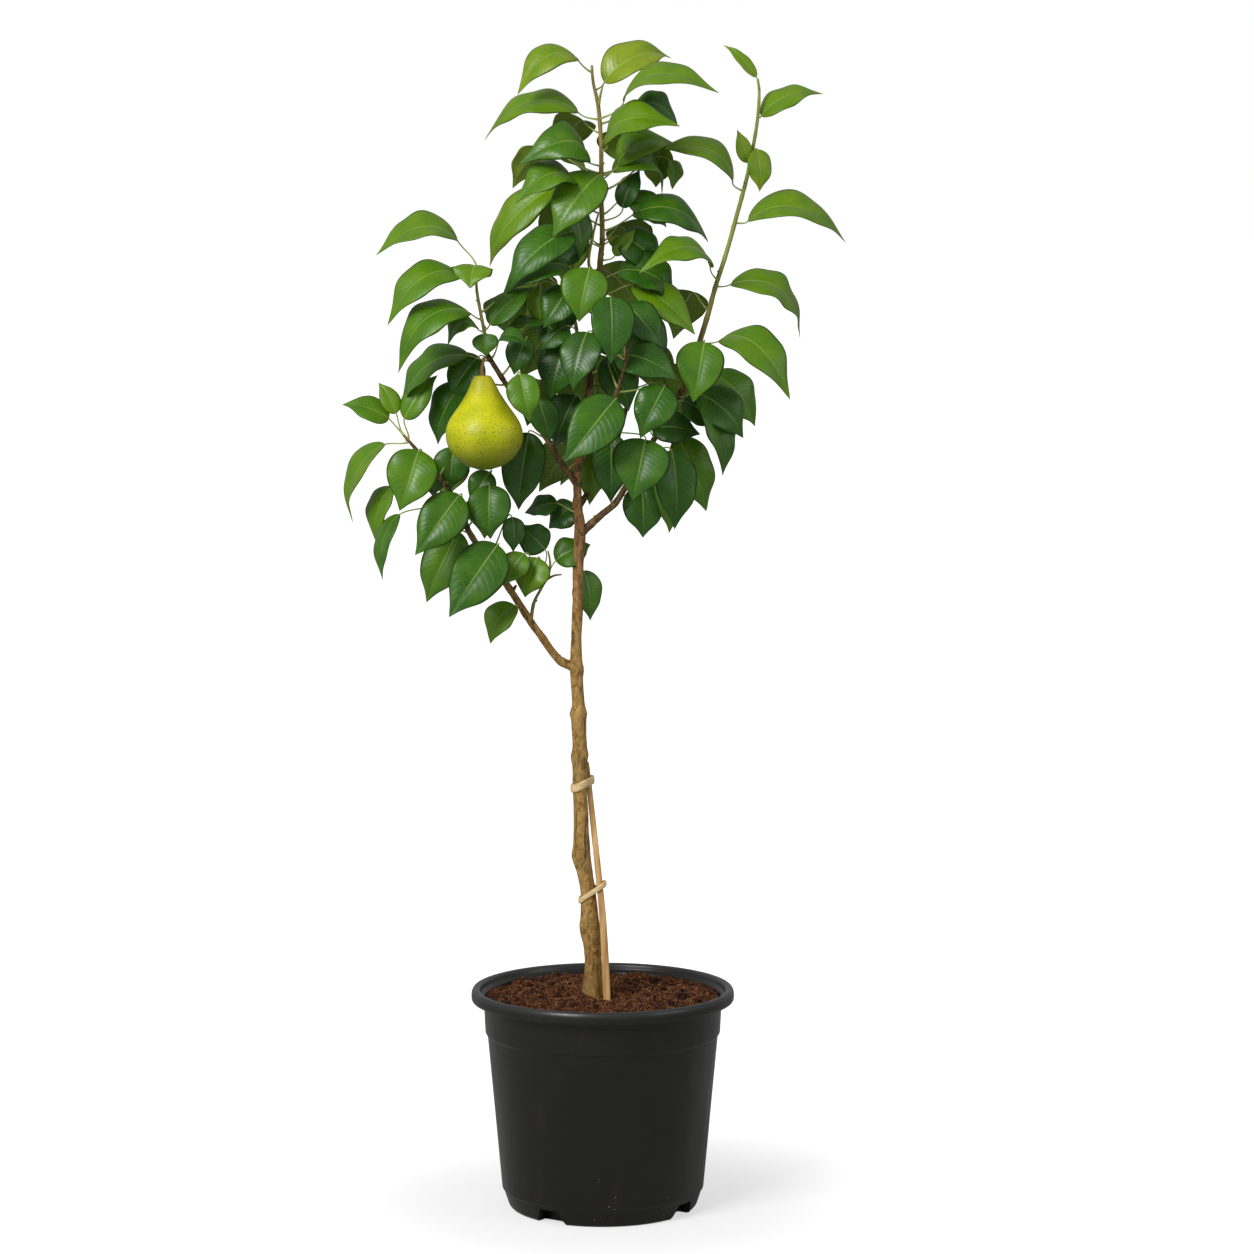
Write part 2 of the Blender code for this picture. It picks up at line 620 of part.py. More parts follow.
def make_tie(name, trunk_z, stake_z, band, trunk_path, stake_path):
    trunk_point, trunk_radius = at_height(trunk_path, trunk_z * CM)
    stake_point, stake_radius = at_height(stake_path, stake_z * CM)
    centres = ((trunk_point.xy, trunk_radius), (stake_point.xy, stake_radius))
    slope = (stake_point.z - trunk_point.z) / max(stake_point.x - trunk_point.x, 0.001)
    inner = belt(centres, 0.0006)
    outer = belt(centres, 0.0006 + TIE_THICKNESS)
    mesh_data = bmesh.new()
    rings = []
    for loop, side in ((inner, -0.5), (outer, -0.5), (outer, 0.5), (inner, 0.5)):
        ring = []
        for point in loop:
            z = trunk_point.z + slope * (point.x - trunk_point.x) + side * band * CM
            ring.append(mesh_data.verts.new((point.x, point.y, z)))
        rings.append(ring)
    for first, second in zip(rings, rings[1:] + rings[:1]):
        bridge(mesh_data, first, second)
    dress(add_object(name, mesh_data), "straw_tie")


def make_pear():
    profile = [(radius * CM, (PEAR_BOTTOM_Z + height) * CM) for height, radius in PEAR_PROFILE]
    mesh_data = revolve(profile, PEAR_SEGMENTS)
    centre = Vector((PEAR_AXIS[0] * CM, PEAR_AXIS[1] * CM, 0.0))
    for vertex in mesh_data.verts:
        height = vertex.co.z - PEAR_BOTTOM_Z * CM
        lean = -0.035 * max(height - 0.045, 0.0)
        vertex.co += centre + Vector((lean, 0.0, 0.0))
    dress(add_object("pear", mesh_data), "pear_skin")
    stalk = (
        (-11.48, -6.0, 82.92, 0.20),
        (-11.52, -6.02, 83.4, 0.15),
        (-11.42, -6.02, 83.95, 0.14),
        (-11.3, -6.0, 84.45, 0.16),
    )
    dress(add_object("pear_stalk", tube(smooth_path(stalk, 1), 6)), "young_wood", 65.0)


def nearest_on(path, point):
    """Place on a path nearest a point, as (place along it, position, radius)."""
    best = None
    for i, ((a, ra), (b, rb)) in enumerate(zip(path, path[1:])):
        span = b - a
        t = min(max((point - a).dot(span) / span.length_squared, 0.0), 1.0)
        spot = a + span * t
        distance = (point - spot).length
        if best is None or distance < best[0]:
            best = (distance, i + t, spot, ra + (rb - ra) * t)
    return best


def walk_back(path, place, distance):
    """Move along a path towards its start."""
    i = min(int(place), len(path) - 2)
    t = place - i
    here = path[i][0].lerp(path[i + 1][0], t)
    left = distance
    while left > 0.0:
        start = path[i][0]
        step = (here - start).length
        if step >= left or i == 0:
            share = min(left / step, 1.0) if step > 0.0 else 0.0
            here = here.lerp(start, share)
            break
        left -= step
        here = start
        i -= 1
    span = (path[i + 1][0] - path[i][0])
    t = min(max((here - path[i][0]).dot(span) / span.length_squared, 0.0), 1.0)
    radius = path[i][1] + (path[i + 1][1] - path[i][1]) * t
    return here, radius, span.normalized()


def bezier(a, b, c, d, t):
    s = 1.0 - t
    return a * s**3 + b * 3.0 * s * s * t + c * 3.0 * s * t * t + d * t**3


def arch_shape(s):
    """Rise of a midrib above its chord, 1 at the highest place."""
    return s**0.8 * (1.0 - s) ** 1.1 / 0.2701


def half_width_shape(s):
    """Half width of a blade along its midrib, 1 at the widest place."""
    return max(s, 0.0) ** 0.55 * max(1.0 - s, 0.0) ** 0.95 / 0.3729


def leaf_frame(base, tip, tilt, turn):
    chord = (tip - base).normalized()
    tilt = math.radians(tilt)
    turn = math.radians(turn)
    face = Vector((math.sin(tilt) * math.sin(turn), -math.sin(tilt) * math.cos(turn), math.cos(tilt)))
    face = (face - chord * face.dot(chord)).normalized()
    return chord, face, chord.cross(face)


def section(point, side, normal, half, lift, thick):
    """Six points of a cross-section, edges lifted above the midrib."""
    edge = normal * lift
    return [
        point - side * half + edge + normal * thick,
        point + normal * thick,
        point + side * half + edge + normal * thick,
        point + side * half + edge - normal * thick,
        point - normal * thick,
        point - side * half + edge - normal * thick,
    ]


def make_leaf(row, paths):
    name, shoot, base, tip, width, arch, tilt, turn = row
    base = Vector(base) * CM
    tip = Vector(tip) * CM
    length = (tip - base).length
    chord, face, side = leaf_frame(base, tip, tilt, turn)
    path = paths[shoot]
    distance, place, _, _ = nearest_on(path, base)
    end = path[-1][0]
    end_way = (end - path[-2][0]).normalized()
    if place >= len(path) - 1.0 and (base - end).normalized().dot(end_way) > 0.8:
        start = end + end_way * 0.0006
        out = end_way
    else:
        start, radius, along = walk_back(path, place, WALK_BACK * distance)
        out = (base - start).normalized()
        out = (out - along * out.dot(along) * 0.6).normalized()
        start = start + out * (radius + 0.0010)
    rise = arch * CM * arch_shape(0.05)
    leave = (chord * 0.05 * length + face * rise).normalized()
    reach = (base - start).length
    handle_a = start + out * reach * 0.35
    handle_b = base - leave * reach * 0.35
    centres = [bezier(start, handle_a, handle_b, base, t / PETIOLE_STEPS) for t in range(PETIOLE_STEPS + 1)]
    for s in BLADE_STATIONS:
        centres.append(base + chord * length * s + face * arch * CM * arch_shape(s))
    count = len(centres)
    rings = [None] * count
    across = side
    for i in reversed(range(count)):
        tangent = (centres[min(i + 1, count - 1)] - centres[max(i - 1, 0)]).normalized()
        across = (across - tangent * across.dot(tangent)).normalized()
        normal = across.cross(tangent)
        if i > PETIOLE_STEPS:
            s = BLADE_STATIONS[i - PETIOLE_STEPS - 1]
            half = max(width * CM * 0.5 * half_width_shape(s), 0.0008)
            lift = half * BLADE_FOLD
            rings[i] = section(centres[i], across, normal, half, lift, BLADE_HALF_THICKNESS * CM)
        else:
            half = PETIOLE_HALF * CM
            rings[i] = section(centres[i], across, normal, half, 0.0, half)
    dress(add_object(name, loft(rings)), "leaf")


def main():
    clear_scene()
    make_pot()
    paths = make_wood()
    stake_path = smooth_path(STAKE, 1)
    dress(add_object("stake", tube(stake_path, 4)), "cane")
    make_soil(paths["trunk"], stake_path)
    for name, trunk_z, stake_z, band in TIES:
        make_tie(name, trunk_z, stake_z, band, paths["trunk"], stake_path)
    make_pear()
    for row in LEAVES:
        make_leaf(row, paths)


main()
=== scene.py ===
"""Looks for the potted pear tree: bark, leaves, fruit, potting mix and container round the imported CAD.

Tables of points and leaves are in centimetres, everything else is in metres. The
tables and sizes as far as LEAVES repeat the CAD's own.
"""

import math
import random

import bmesh
import bpy
from mathutils import Matrix, Vector, noise

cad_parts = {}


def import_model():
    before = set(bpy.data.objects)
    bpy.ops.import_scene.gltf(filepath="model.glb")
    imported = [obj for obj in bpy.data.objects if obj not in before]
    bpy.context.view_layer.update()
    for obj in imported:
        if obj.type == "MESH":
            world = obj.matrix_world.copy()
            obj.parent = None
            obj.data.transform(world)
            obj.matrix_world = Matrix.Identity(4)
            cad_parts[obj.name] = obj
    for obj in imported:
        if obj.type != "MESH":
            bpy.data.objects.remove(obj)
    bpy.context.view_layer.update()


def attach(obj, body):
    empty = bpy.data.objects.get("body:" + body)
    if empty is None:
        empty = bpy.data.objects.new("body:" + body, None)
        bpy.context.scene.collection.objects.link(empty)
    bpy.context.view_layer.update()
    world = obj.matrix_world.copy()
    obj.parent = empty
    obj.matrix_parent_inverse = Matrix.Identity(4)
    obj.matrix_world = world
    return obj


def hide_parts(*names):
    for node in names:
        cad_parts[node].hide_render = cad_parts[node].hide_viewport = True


CM = 0.01
BODY = "root"

# Container, radii and heights
RIM_RADIUS = 0.130
RIM_INNER_RADIUS = 0.1217
POT_HEIGHT = 0.220
RIM_BEAD_HEIGHT = 0.0125
COLLAR_TOP_RADIUS = 0.118
COLLAR_FOOT_RADIUS = 0.1163
COLLAR_FOOT_Z = 0.1745
BODY_TOP_RADIUS = 0.1142
FOOT_RADIUS = 0.100
FOOT_Z = 0.0195
BASE_RADIUS = 0.0935
WALL = 0.0018

# Drain notches in the foot of the container
NOTCH_ANGLES = (-123.0, -33.0, 57.0, 147.0)
NOTCH_HEIGHT = 0.0145
NOTCH_TOP_WIDTH = 0.021
NOTCH_FOOT_WIDTH = 0.033
NOTCH_INNER_RADIUS = 0.078
DRAIN_HOLE_RADIUS = 0.004
DRAIN_HOLE_REACH = 0.086

# Potting mix, its top measured down from the rim
SOIL_DROP = 0.010
SOIL_EDGE_DROP = 0.0165
SOIL_TOP_Z = POT_HEIGHT - SOIL_DROP
SOIL_LUMP = 0.003

PEAR_AXIS = (-11.3, -6.0)
PEAR_BOTTOM_Z = 73.65

# Wood: points along each axis as x, y, z, radius
TRUNK = (
    (-0.95, 0.0, 15.0, 1.10), (-1.00, 0.0, 19.2, 1.42), (-1.00, 0.0, 21.2, 1.22),
    (-0.97, 0.0, 23.0, 0.94), (-0.97, 0.0, 24.8, 0.84), (-1.15, 0.0, 27.6, 0.90),
    (-1.30, 0.0, 29.5, 0.84), (-1.47, 0.0, 31.7, 0.74), (-1.80, 0.0, 33.6, 0.78),
    (-2.00, 0.0, 35.2, 0.82), (-2.13, 0.0, 38.8, 0.72), (-2.25, 0.0, 42.2, 0.71),
    (-2.24, 0.0, 45.0, 0.79), (-2.30, 0.0, 47.0, 0.68), (-2.36, 0.0, 49.3, 0.76),
    (-2.40, 0.1, 50.6, 0.62), (-2.58, 0.1, 53.6, 0.62), (-2.57, 0.1, 56.6, 0.52),
    (-2.48, 0.1, 59.0, 0.55), (-2.42, 0.1, 61.0, 0.50), (-2.36, 0.1, 64.2, 0.52),
    (-2.20, 0.1, 67.3, 0.55), (-2.42, 0.0, 70.0, 0.42), (-2.42, 0.0, 74.0, 0.38),
    (-2.0, -0.2, 77.6, 0.36), (-1.3, -0.3, 81.0, 0.35), (-0.9, -0.2, 84.5, 0.33),
    (-0.5, 0.1, 89.0, 0.30), (-0.2, 0.2, 93.5, 0.28), (0.0, 0.2, 96.0, 0.25),
    (-0.1, 0.1, 100.0, 0.23), (-0.1, 0.0, 104.5, 0.21), (-0.35, 0.0, 108.3, 0.19),
    (-0.85, 0.0, 110.7, 0.15), (-1.0, 0.0, 112.4, 0.12),
)
SHOOTS = {
    "low_left_limb": (
        (-2.6, 0.1, 53.89, 0.42), (-3.8, -0.2, 54.32, 0.40), (-4.7, -0.5, 55.16, 0.38),
        (-5.9, -0.9, 56.9, 0.37), (-7.1, -1.3, 58.64, 0.37), (-9.0, -1.9, 61.71, 0.34),
        (-10.7, -2.4, 64.16, 0.31), (-12.8, -3.0, 67.23, 0.29), (-14.0, -3.3, 70.16, 0.27),
        (-15.8, -3.5, 72.89, 0.22), (-17.8, -3.6, 75.3, 0.18), (-19.2, -3.6, 76.9, 0.14),
    ),
    "low_left_twig": (
        (-7.0, -1.3, 58.54, 0.16), (-6.7, -1.1, 60.32, 0.15), (-6.0, -0.9, 61.7, 0.14),
        (-5.3, -0.8, 62.89, 0.12),
    ),
    "upper_left_limb": (
        (-2.4, 0.0, 71.8, 0.30), (-3.9, -1.0, 73.81, 0.30), (-5.2, -2.0, 76.12, 0.28),
        (-7.0, -3.2, 78.85, 0.26), (-9.0, -4.5, 81.5, 0.25), (-11.1, -5.7, 84.93, 0.24),
    ),
    "left_top_shoot": (
        (-11.15, -5.75, 85.23, 0.20), (-11.25, -5.9, 86.75, 0.18), (-11.6, -5.9, 88.65, 0.16),
        (-12.0, -5.7, 91.03, 0.14), (-12.0, -5.5, 93.01, 0.11),
    ),
    "right_limb": (
        (-2.2, 0.0, 67, 0.36), (-0.2, 0.4, 68.76, 0.34), (1.2, 0.8, 69.91, 0.32),
        (2.3, 1.2, 71.57, 0.31), (4.4, 1.8, 75.1, 0.29), (6.65, 2.3, 78.65, 0.28),
        (7.6, 2.5, 80.52, 0.27), (8.7, 2.7, 83.2, 0.25),
    ),
    "right_shoot": (
        (8.82, 2.7, 83.5, 0.23), (9.6, 2.8, 85.89, 0.21), (10.4, 2.9, 88.58, 0.20),
        (11.1, 3.0, 91.17, 0.18), (12.1, 3.1, 94.26, 0.17), (13.1, 3.2, 97.85, 0.16),
        (14.2, 3.3, 102.04, 0.15), (15.05, 3.5, 106.61, 0.13), (15.3, 3.6, 109.7, 0.11),
        (15.15, 3.6, 111.2, 0.09),
    ),
    "front_limb": (
        (-2.42, 0.0, 73.2, 0.26), (-1.7, -2.0, 75.12, 0.24), (-0.4, -4.0, 77.64, 0.22),
        (1.2, -5.6, 80.62, 0.20), (2.2, -6.4, 83.71, 0.17), (2.6, -6.8, 86.35, 0.12),
    ),
    "back_limb": (
        (-1.2, 0.0, 81.2, 0.24), (-1.6, 2.6, 82.91, 0.22), (-2.4, 5.6, 85.78, 0.20),
        (-3.0, 8.2, 89.5, 0.16), (-3.0, 9.6, 93.54, 0.12),
    ),
    "back_low_limb": (
        (-2.4, 0.0, 69.6, 0.30), (-1.4, 2.6, 70.91, 0.28), (0.4, 5.6, 73.58, 0.26),
        (2.0, 8.4, 77.47, 0.22), (2.8, 10.2, 81.48, 0.16),
    ),
}
CONTINUED_SHOOTS = ("left_top_shoot", "right_shoot")

# Cane and ties
STAKE = (
    (0.50, -1.36, 15.2, 0.54), (0.44, -1.40, 20.5, 0.52), (0.10, -1.06, 27.6, 0.49),
    (-0.24, -0.58, 31.7, 0.45), (-1.34, 0.80, 42.0, 0.38), (-1.60, 1.06, 44.3, 0.34),
)
TIE_THICKNESS = 0.0016
# name, height at the trunk, height at the cane, band height
TIES = (
    ("tie_upper", 42.15, 42.45, 0.85),
    ("tie_lower", 31.3, 32.1, 0.62),
)

# Leaves, in groups of a name, the first number and rows. Each row: shoot it grows from,
# blade base, blade tip, blade width, height of its arch, tilt of the upper face from
# straight up towards the front in degrees, turn of that tilt towards +X in degrees, and
# tone from 0, deep green, to 1, pale yellow-green.
LEAVES = (
    ("leaf_top", 1, (
        ("trunk", (-2.4, -0.3, 113.0), (-8.2, -2.5, 109.9), 4.2, 2.0, 34, 0, 0.85),
        ("trunk", (0.2, 0.9, 110.8), (6.7, 3.8, 113.9), 4.4, 1.5, 46, 0, 0.95),
        ("trunk", (2.1, -1.5, 109.0), (11.1, -4.4, 110.0), 4.8, 2.4, 30, 0, 0.7),
        ("trunk", (0.5, -1.3, 104.8), (7.2, -5.0, 106.9), 4.8, 2.2, 46, 0, 0.7),
        ("trunk", (-2.3, 0.1, 107.9), (-11.7, 1.5, 106.1), 4.7, 2.2, 31, 0, 0.7),
        ("trunk", (-1.6, -1.2, 103.5), (-7.6, -5.0, 103.5), 5.0, 2.5, 54, 0, 0.4),
        ("trunk", (0.9, 1.4, 102.2), (6.2, 4.0, 100.6), 4.6, 2.6, 38, 0, 0.6),
        ("trunk", (-4.4, 2.2, 100.8), (-11.8, 4.0, 93.4), 4.2, 1.3, 50, -10, 0.75),
    )),
    ("leaf_mid", 1, (
        ("trunk", (-2.8, -2.6, 96.4), (-9.2, -6.0, 91.2), 4.4, 1.5, 58, -10, 0.3),
        ("trunk", (-1.2, -4.2, 93.0), (-2.2, -5.8, 88.0), 4.7, 0.6, 78, 0, 0.5),
        ("trunk", (2.9, 2.0, 98.0), (10.5, 4.0, 95.5), 4.8, 2.2, 38, 0, 0.3),
        ("front_limb", (0.8, -6.6, 90.3), (0.9, -8.4, 84.1), 4.3, 0.7, 72, 10, 0.2),
        ("front_limb", (1.3, -7.8, 80.6), (-3.6, -10.0, 74.8), 4.9, 0.7, 76, 0, 0.3),
        ("front_limb", (6.0, -5.4, 81.7), (3.7, -7.4, 77.0), 4.2, 0.6, 76, 0, 0.28),
    )),
    ("leaf_low", 1, (
        ("front_limb", (4.2, -5.6, 76.6), (2.9, -7.6, 71.0), 5.6, 0.6, 78, 0, 0.3),
        ("right_limb", (7.3, 4.2, 76.2), (10.5, 5.0, 68.8), 4.3, 0.8, 70, 15, 0.5),
        ("right_limb", (6.7, -1.6, 75.3), (7.2, -2.6, 67.7), 4.3, 0.9, 66, 15, 0.25),
    )),
    ("leaf_right", 1, (
        ("right_shoot", (12.7, 2.6, 101.2), (5.1, 1.0, 104.6), 4.2, 2.3, 34, 0, 0.7),
        ("right_shoot", (10.5, 1.0, 93.0), (3.7, -3.0, 93.1), 4.4, 2.3, 36, 0, 0.65),
        ("right_shoot", (12.5, 3.6, 91.2), (19.9, 6.0, 86.3), 4.6, 2.7, 34, 0, 0.7),
        ("right_shoot", (11.6, 1.6, 85.9), (18.3, -2.0, 80.5), 4.9, 2.7, 36, 0, 0.6),
        ("right_shoot", (14.2, 3.2, 97.4), (24.0, 4.5, 95.7), 4.8, 2.6, 33, 0, 0.72),
        ("right_shoot", (15.5, 3.8, 107.6), (21.4, 5.0, 110.4), 3.8, 0.9, 30, 0, 0.75),
        ("right_shoot", (9.9, -2.0, 85.8), (8.8, -4.2, 80.2), 4.7, 0.6, 78, 0, 0.45),
        ("right_limb", (9.9, 0.6, 80.3), (12.4, 0.2, 72.9), 4.5, 0.8, 60, 45, 0.3),
    )),
    ("leaf_left", 1, (
        ("left_top_shoot", (-13.8, -5.2, 95.6), (-21.6, -6.5, 94.6), 4.5, 2.2, 33, 0, 0.65),
        ("left_top_shoot", (-13.4, -6.6, 92.3), (-20.5, -9.0, 88.0), 4.6, 2.4, 34, 0, 0.6),
        ("left_top_shoot", (-12.6, -7.4, 88.8), (-19.7, -9.5, 83.9), 4.6, 2.6, 34, 0, 0.5),
        ("upper_left_limb", (-12.8, -4.0, 84.6), (-19.9, -2.0, 79.3), 4.6, 2.0, 32, 0, 0.4),
        ("upper_left_limb", (-7.8, -7.4, 83.0), (-6.9, -8.4, 78.5), 3.3, 0.4, 76, 0, 0.55),
        ("upper_left_limb", (-7.2, -1.0, 77.0), (-8.2, -1.2, 69.4), 4.3, 0.6, 78, 0, 0.22),
        ("low_left_limb", (-10.9, -4.2, 72.1), (-10.8, -5.2, 67.0), 4.2, 0.5, 78, 0, 0.3),
        ("low_left_limb", (-17.6, -6.0, 75.6), (-19.4, -8.0, 70.0), 5.0, 0.6, 78, 0, 0.5),
        ("low_left_limb", (-21.0, -3.2, 76.0), (-25.2, -2.0, 68.7), 4.2, 1.2, 52, -55, 0.65),
        ("low_left_limb", (-19.6, -4.4, 69.3), (-21.6, -5.0, 63.1), 4.0, 0.8, 60, -62, 0.35),
        ("low_left_limb", (-13.7, -6.0, 71.3), (-17.9, -8.4, 65.8), 4.6, 0.6, 76, 0, 0.35),
        ("low_left_limb", (-14.0, -2.6, 67.5), (-17.2, -3.2, 60.6), 4.4, 0.6, 74, 0, 0.5),
        ("low_left_limb", (-10.1, -5.0, 66.4), (-14.7, -7.8, 59.7), 5.2, 0.7, 78, 0, 0.28),
        ("low_left_limb", (-20.6, -3.6, 78.5), (-25.0, -4.0, 80.1), 3.2, 0.4, 44, 0, 0.55),
    )),
    ("leaf_back", 1, (
        ("back_limb", (-5.0, 8.4, 89.7), (-9.0, 11.6, 84.3), 4.6, 1.6, -45, 0, 0.4),
        ("back_limb", (-0.6, 9.4, 92.6), (4.2, 11.8, 87.7), 4.6, 1.6, -45, 0, 0.5),
        ("back_low_limb", (0.2, 9.4, 76.4), (-4.4, 12.0, 71.3), 4.8, 1.4, -50, 0, 0.35),
        ("back_low_limb", (5.0, 10.4, 81.3), (8.6, 12.0, 75.5), 4.8, 1.4, -50, 0, 0.4),
    )),
)

# Shoots with green bark
YOUNG_SHOOTS = ("low_left_twig", "left_top_shoot", "right_shoot")

# The bark of the tall right shoot stands a little proud of its CAD stick
RIGHT_SHOOT_SWELL = 1.3

# Knobs on the stem: height, direction they face in degrees, rise and half length
KNOBS = (
    (0.493, 180.0, 0.0013, 0.0034), (0.493, 0.0, 0.0012, 0.0034), (0.450, 200.0, 0.0016, 0.0055),
    (0.452, -20.0, 0.0012, 0.0045), (0.590, -95.0, 0.0022, 0.0060), (0.352, 185.0, 0.0024, 0.0095),
    (0.280, 180.0, 0.0020, 0.0110), (0.388, -70.0, 0.0010, 0.0050), (0.536, -10.0, 0.0014, 0.0060),
    (0.612, 150.0, 0.0012, 0.0045), (0.655, -80.0, 0.0014, 0.0050), (0.700, 160.0, 0.0014, 0.0050),
)

# Side twigs, spurs and cut stubs, as x, y, z, radius
STUBS = (
    ("bark", ((-10.6, -2.4, 63.86, 0.30), (-10.5, -2.7, 64.6, 0.24), (-10.1, -2.9, 65.32, 0.16))),
    ("bark", ((-8.8, -1.9, 61.41, 0.22), (-8.6, -2.2, 61.84, 0.17), (-8.4, -2.4, 62.16, 0.12))),
    ("bark", ((-13.4, -3.1, 68.34, 0.24), (-14.2, -3.4, 68.87, 0.20), (-14.9, -3.6, 69.3, 0.17))),
    ("young", ((-13.3, -3.2, 68.55, 0.14), (-13.1, -3.5, 69.49, 0.11), (-12.9, -3.6, 70.4, 0.08))),
    ("young", ((-5.3, -0.8, 62.69, 0.13), (-4.7, -0.9, 63, 0.11), (-4.0, -1.1, 63.12, 0.08))),
    ("young", ((-5.3, -0.8, 62.79, 0.13), (-5.1, -0.9, 64.1, 0.11), (-5.3, -1.0, 65.41, 0.08))),
    ("young", ((-5.4, -0.8, 62.59, 0.12), (-5.8, -0.9, 63, 0.10), (-6.2, -1.0, 63.11, 0.07))),
    ("young", ((-3.5, -0.7, 73.18, 0.12), (-3.2, -0.9, 73.5, 0.10), (-2.8, -1.0, 73.91, 0.07))),
    ("young", ((7.4, 2.4, 79.64, 0.18), (8.1, 2.2, 80.66, 0.14), (8.7, 2.1, 81.57, 0.10))),
    (
        "young",
        ((-0.4, 0.1, 91.39, 0.20), (-1.3, -0.6, 93.37, 0.16), (-0.9, -0.8, 96.09, 0.13), (-0.4, -0.9, 98.1, 0.09)),
    ),
    ("young", ((-0.35, 0.0, 108.3, 0.14), (-0.2, -0.2, 109.42, 0.12), (0.1, -0.3, 110.63, 0.08))),
)

# The fruit's outline as height and radius, the pit of its calyx, its crown and its stalk
PEAR_OUTLINE = (
    (0.06, 0.42), (0.14, 0.80), (0.45, 1.78), (0.85, 2.38), (1.3, 2.86), (1.8, 3.24), (2.3, 3.51),
    (2.8, 3.68), (3.3, 3.74), (3.9, 3.69), (4.4, 3.54), (4.9, 3.30), (5.4, 2.98), (5.9, 2.63),
    (6.4, 2.28), (6.9, 1.96), (7.4, 1.65), (7.9, 1.39), (8.4, 1.17), (8.75, 1.01), (8.97, 0.86),
)
PEAR_PIT_DEPTH = 0.62
PEAR_PIT = ((0.55, 0.22), (0.36, 0.42), (0.19, 0.60), (0.12, 0.78))
PEAR_CROWN = ((9.03, 0.86), (9.13, 0.62), (9.12, 0.42), (9.02, 0.26))
PEAR_CROWN_DIP = 9.0
PEAR_RINGS = 86
PEAR_SIDES = 96
CALYX_LOBE = ((0.16, 0.52, 0.05), (0.24, 0.34, 0.06), (0.36, 0.16, 0.05), (0.52, 0.08, 0.02))
PEAR_STALK = (
    (-11.46, -6.0, 82.60, 0.24), (-11.48, -6.0, 82.92, 0.20), (-11.52, -6.02, 83.4, 0.16),
    (-11.42, -6.02, 83.95, 0.14), (-11.3, -6.0, 84.45, 0.18),
)

# Light, and the painted glow that keeps the floor white away from the pot and is weaker near it, as painted shade
FLOOR_SIZE = 60.0
FLOOR_GREY = 0.46
LIGHT_SIZE = 1.6
KEY_POWER = 105.0
SIDE_POWER = 10.0
FILL_STRENGTH = 0.36
FLOOR_GLOW_NEAR = 0.60
FLOOR_GLOW_FAR = 0.95
GLOW_RISES_FROM = 0.12
GLOW_RISES_TO = 0.46


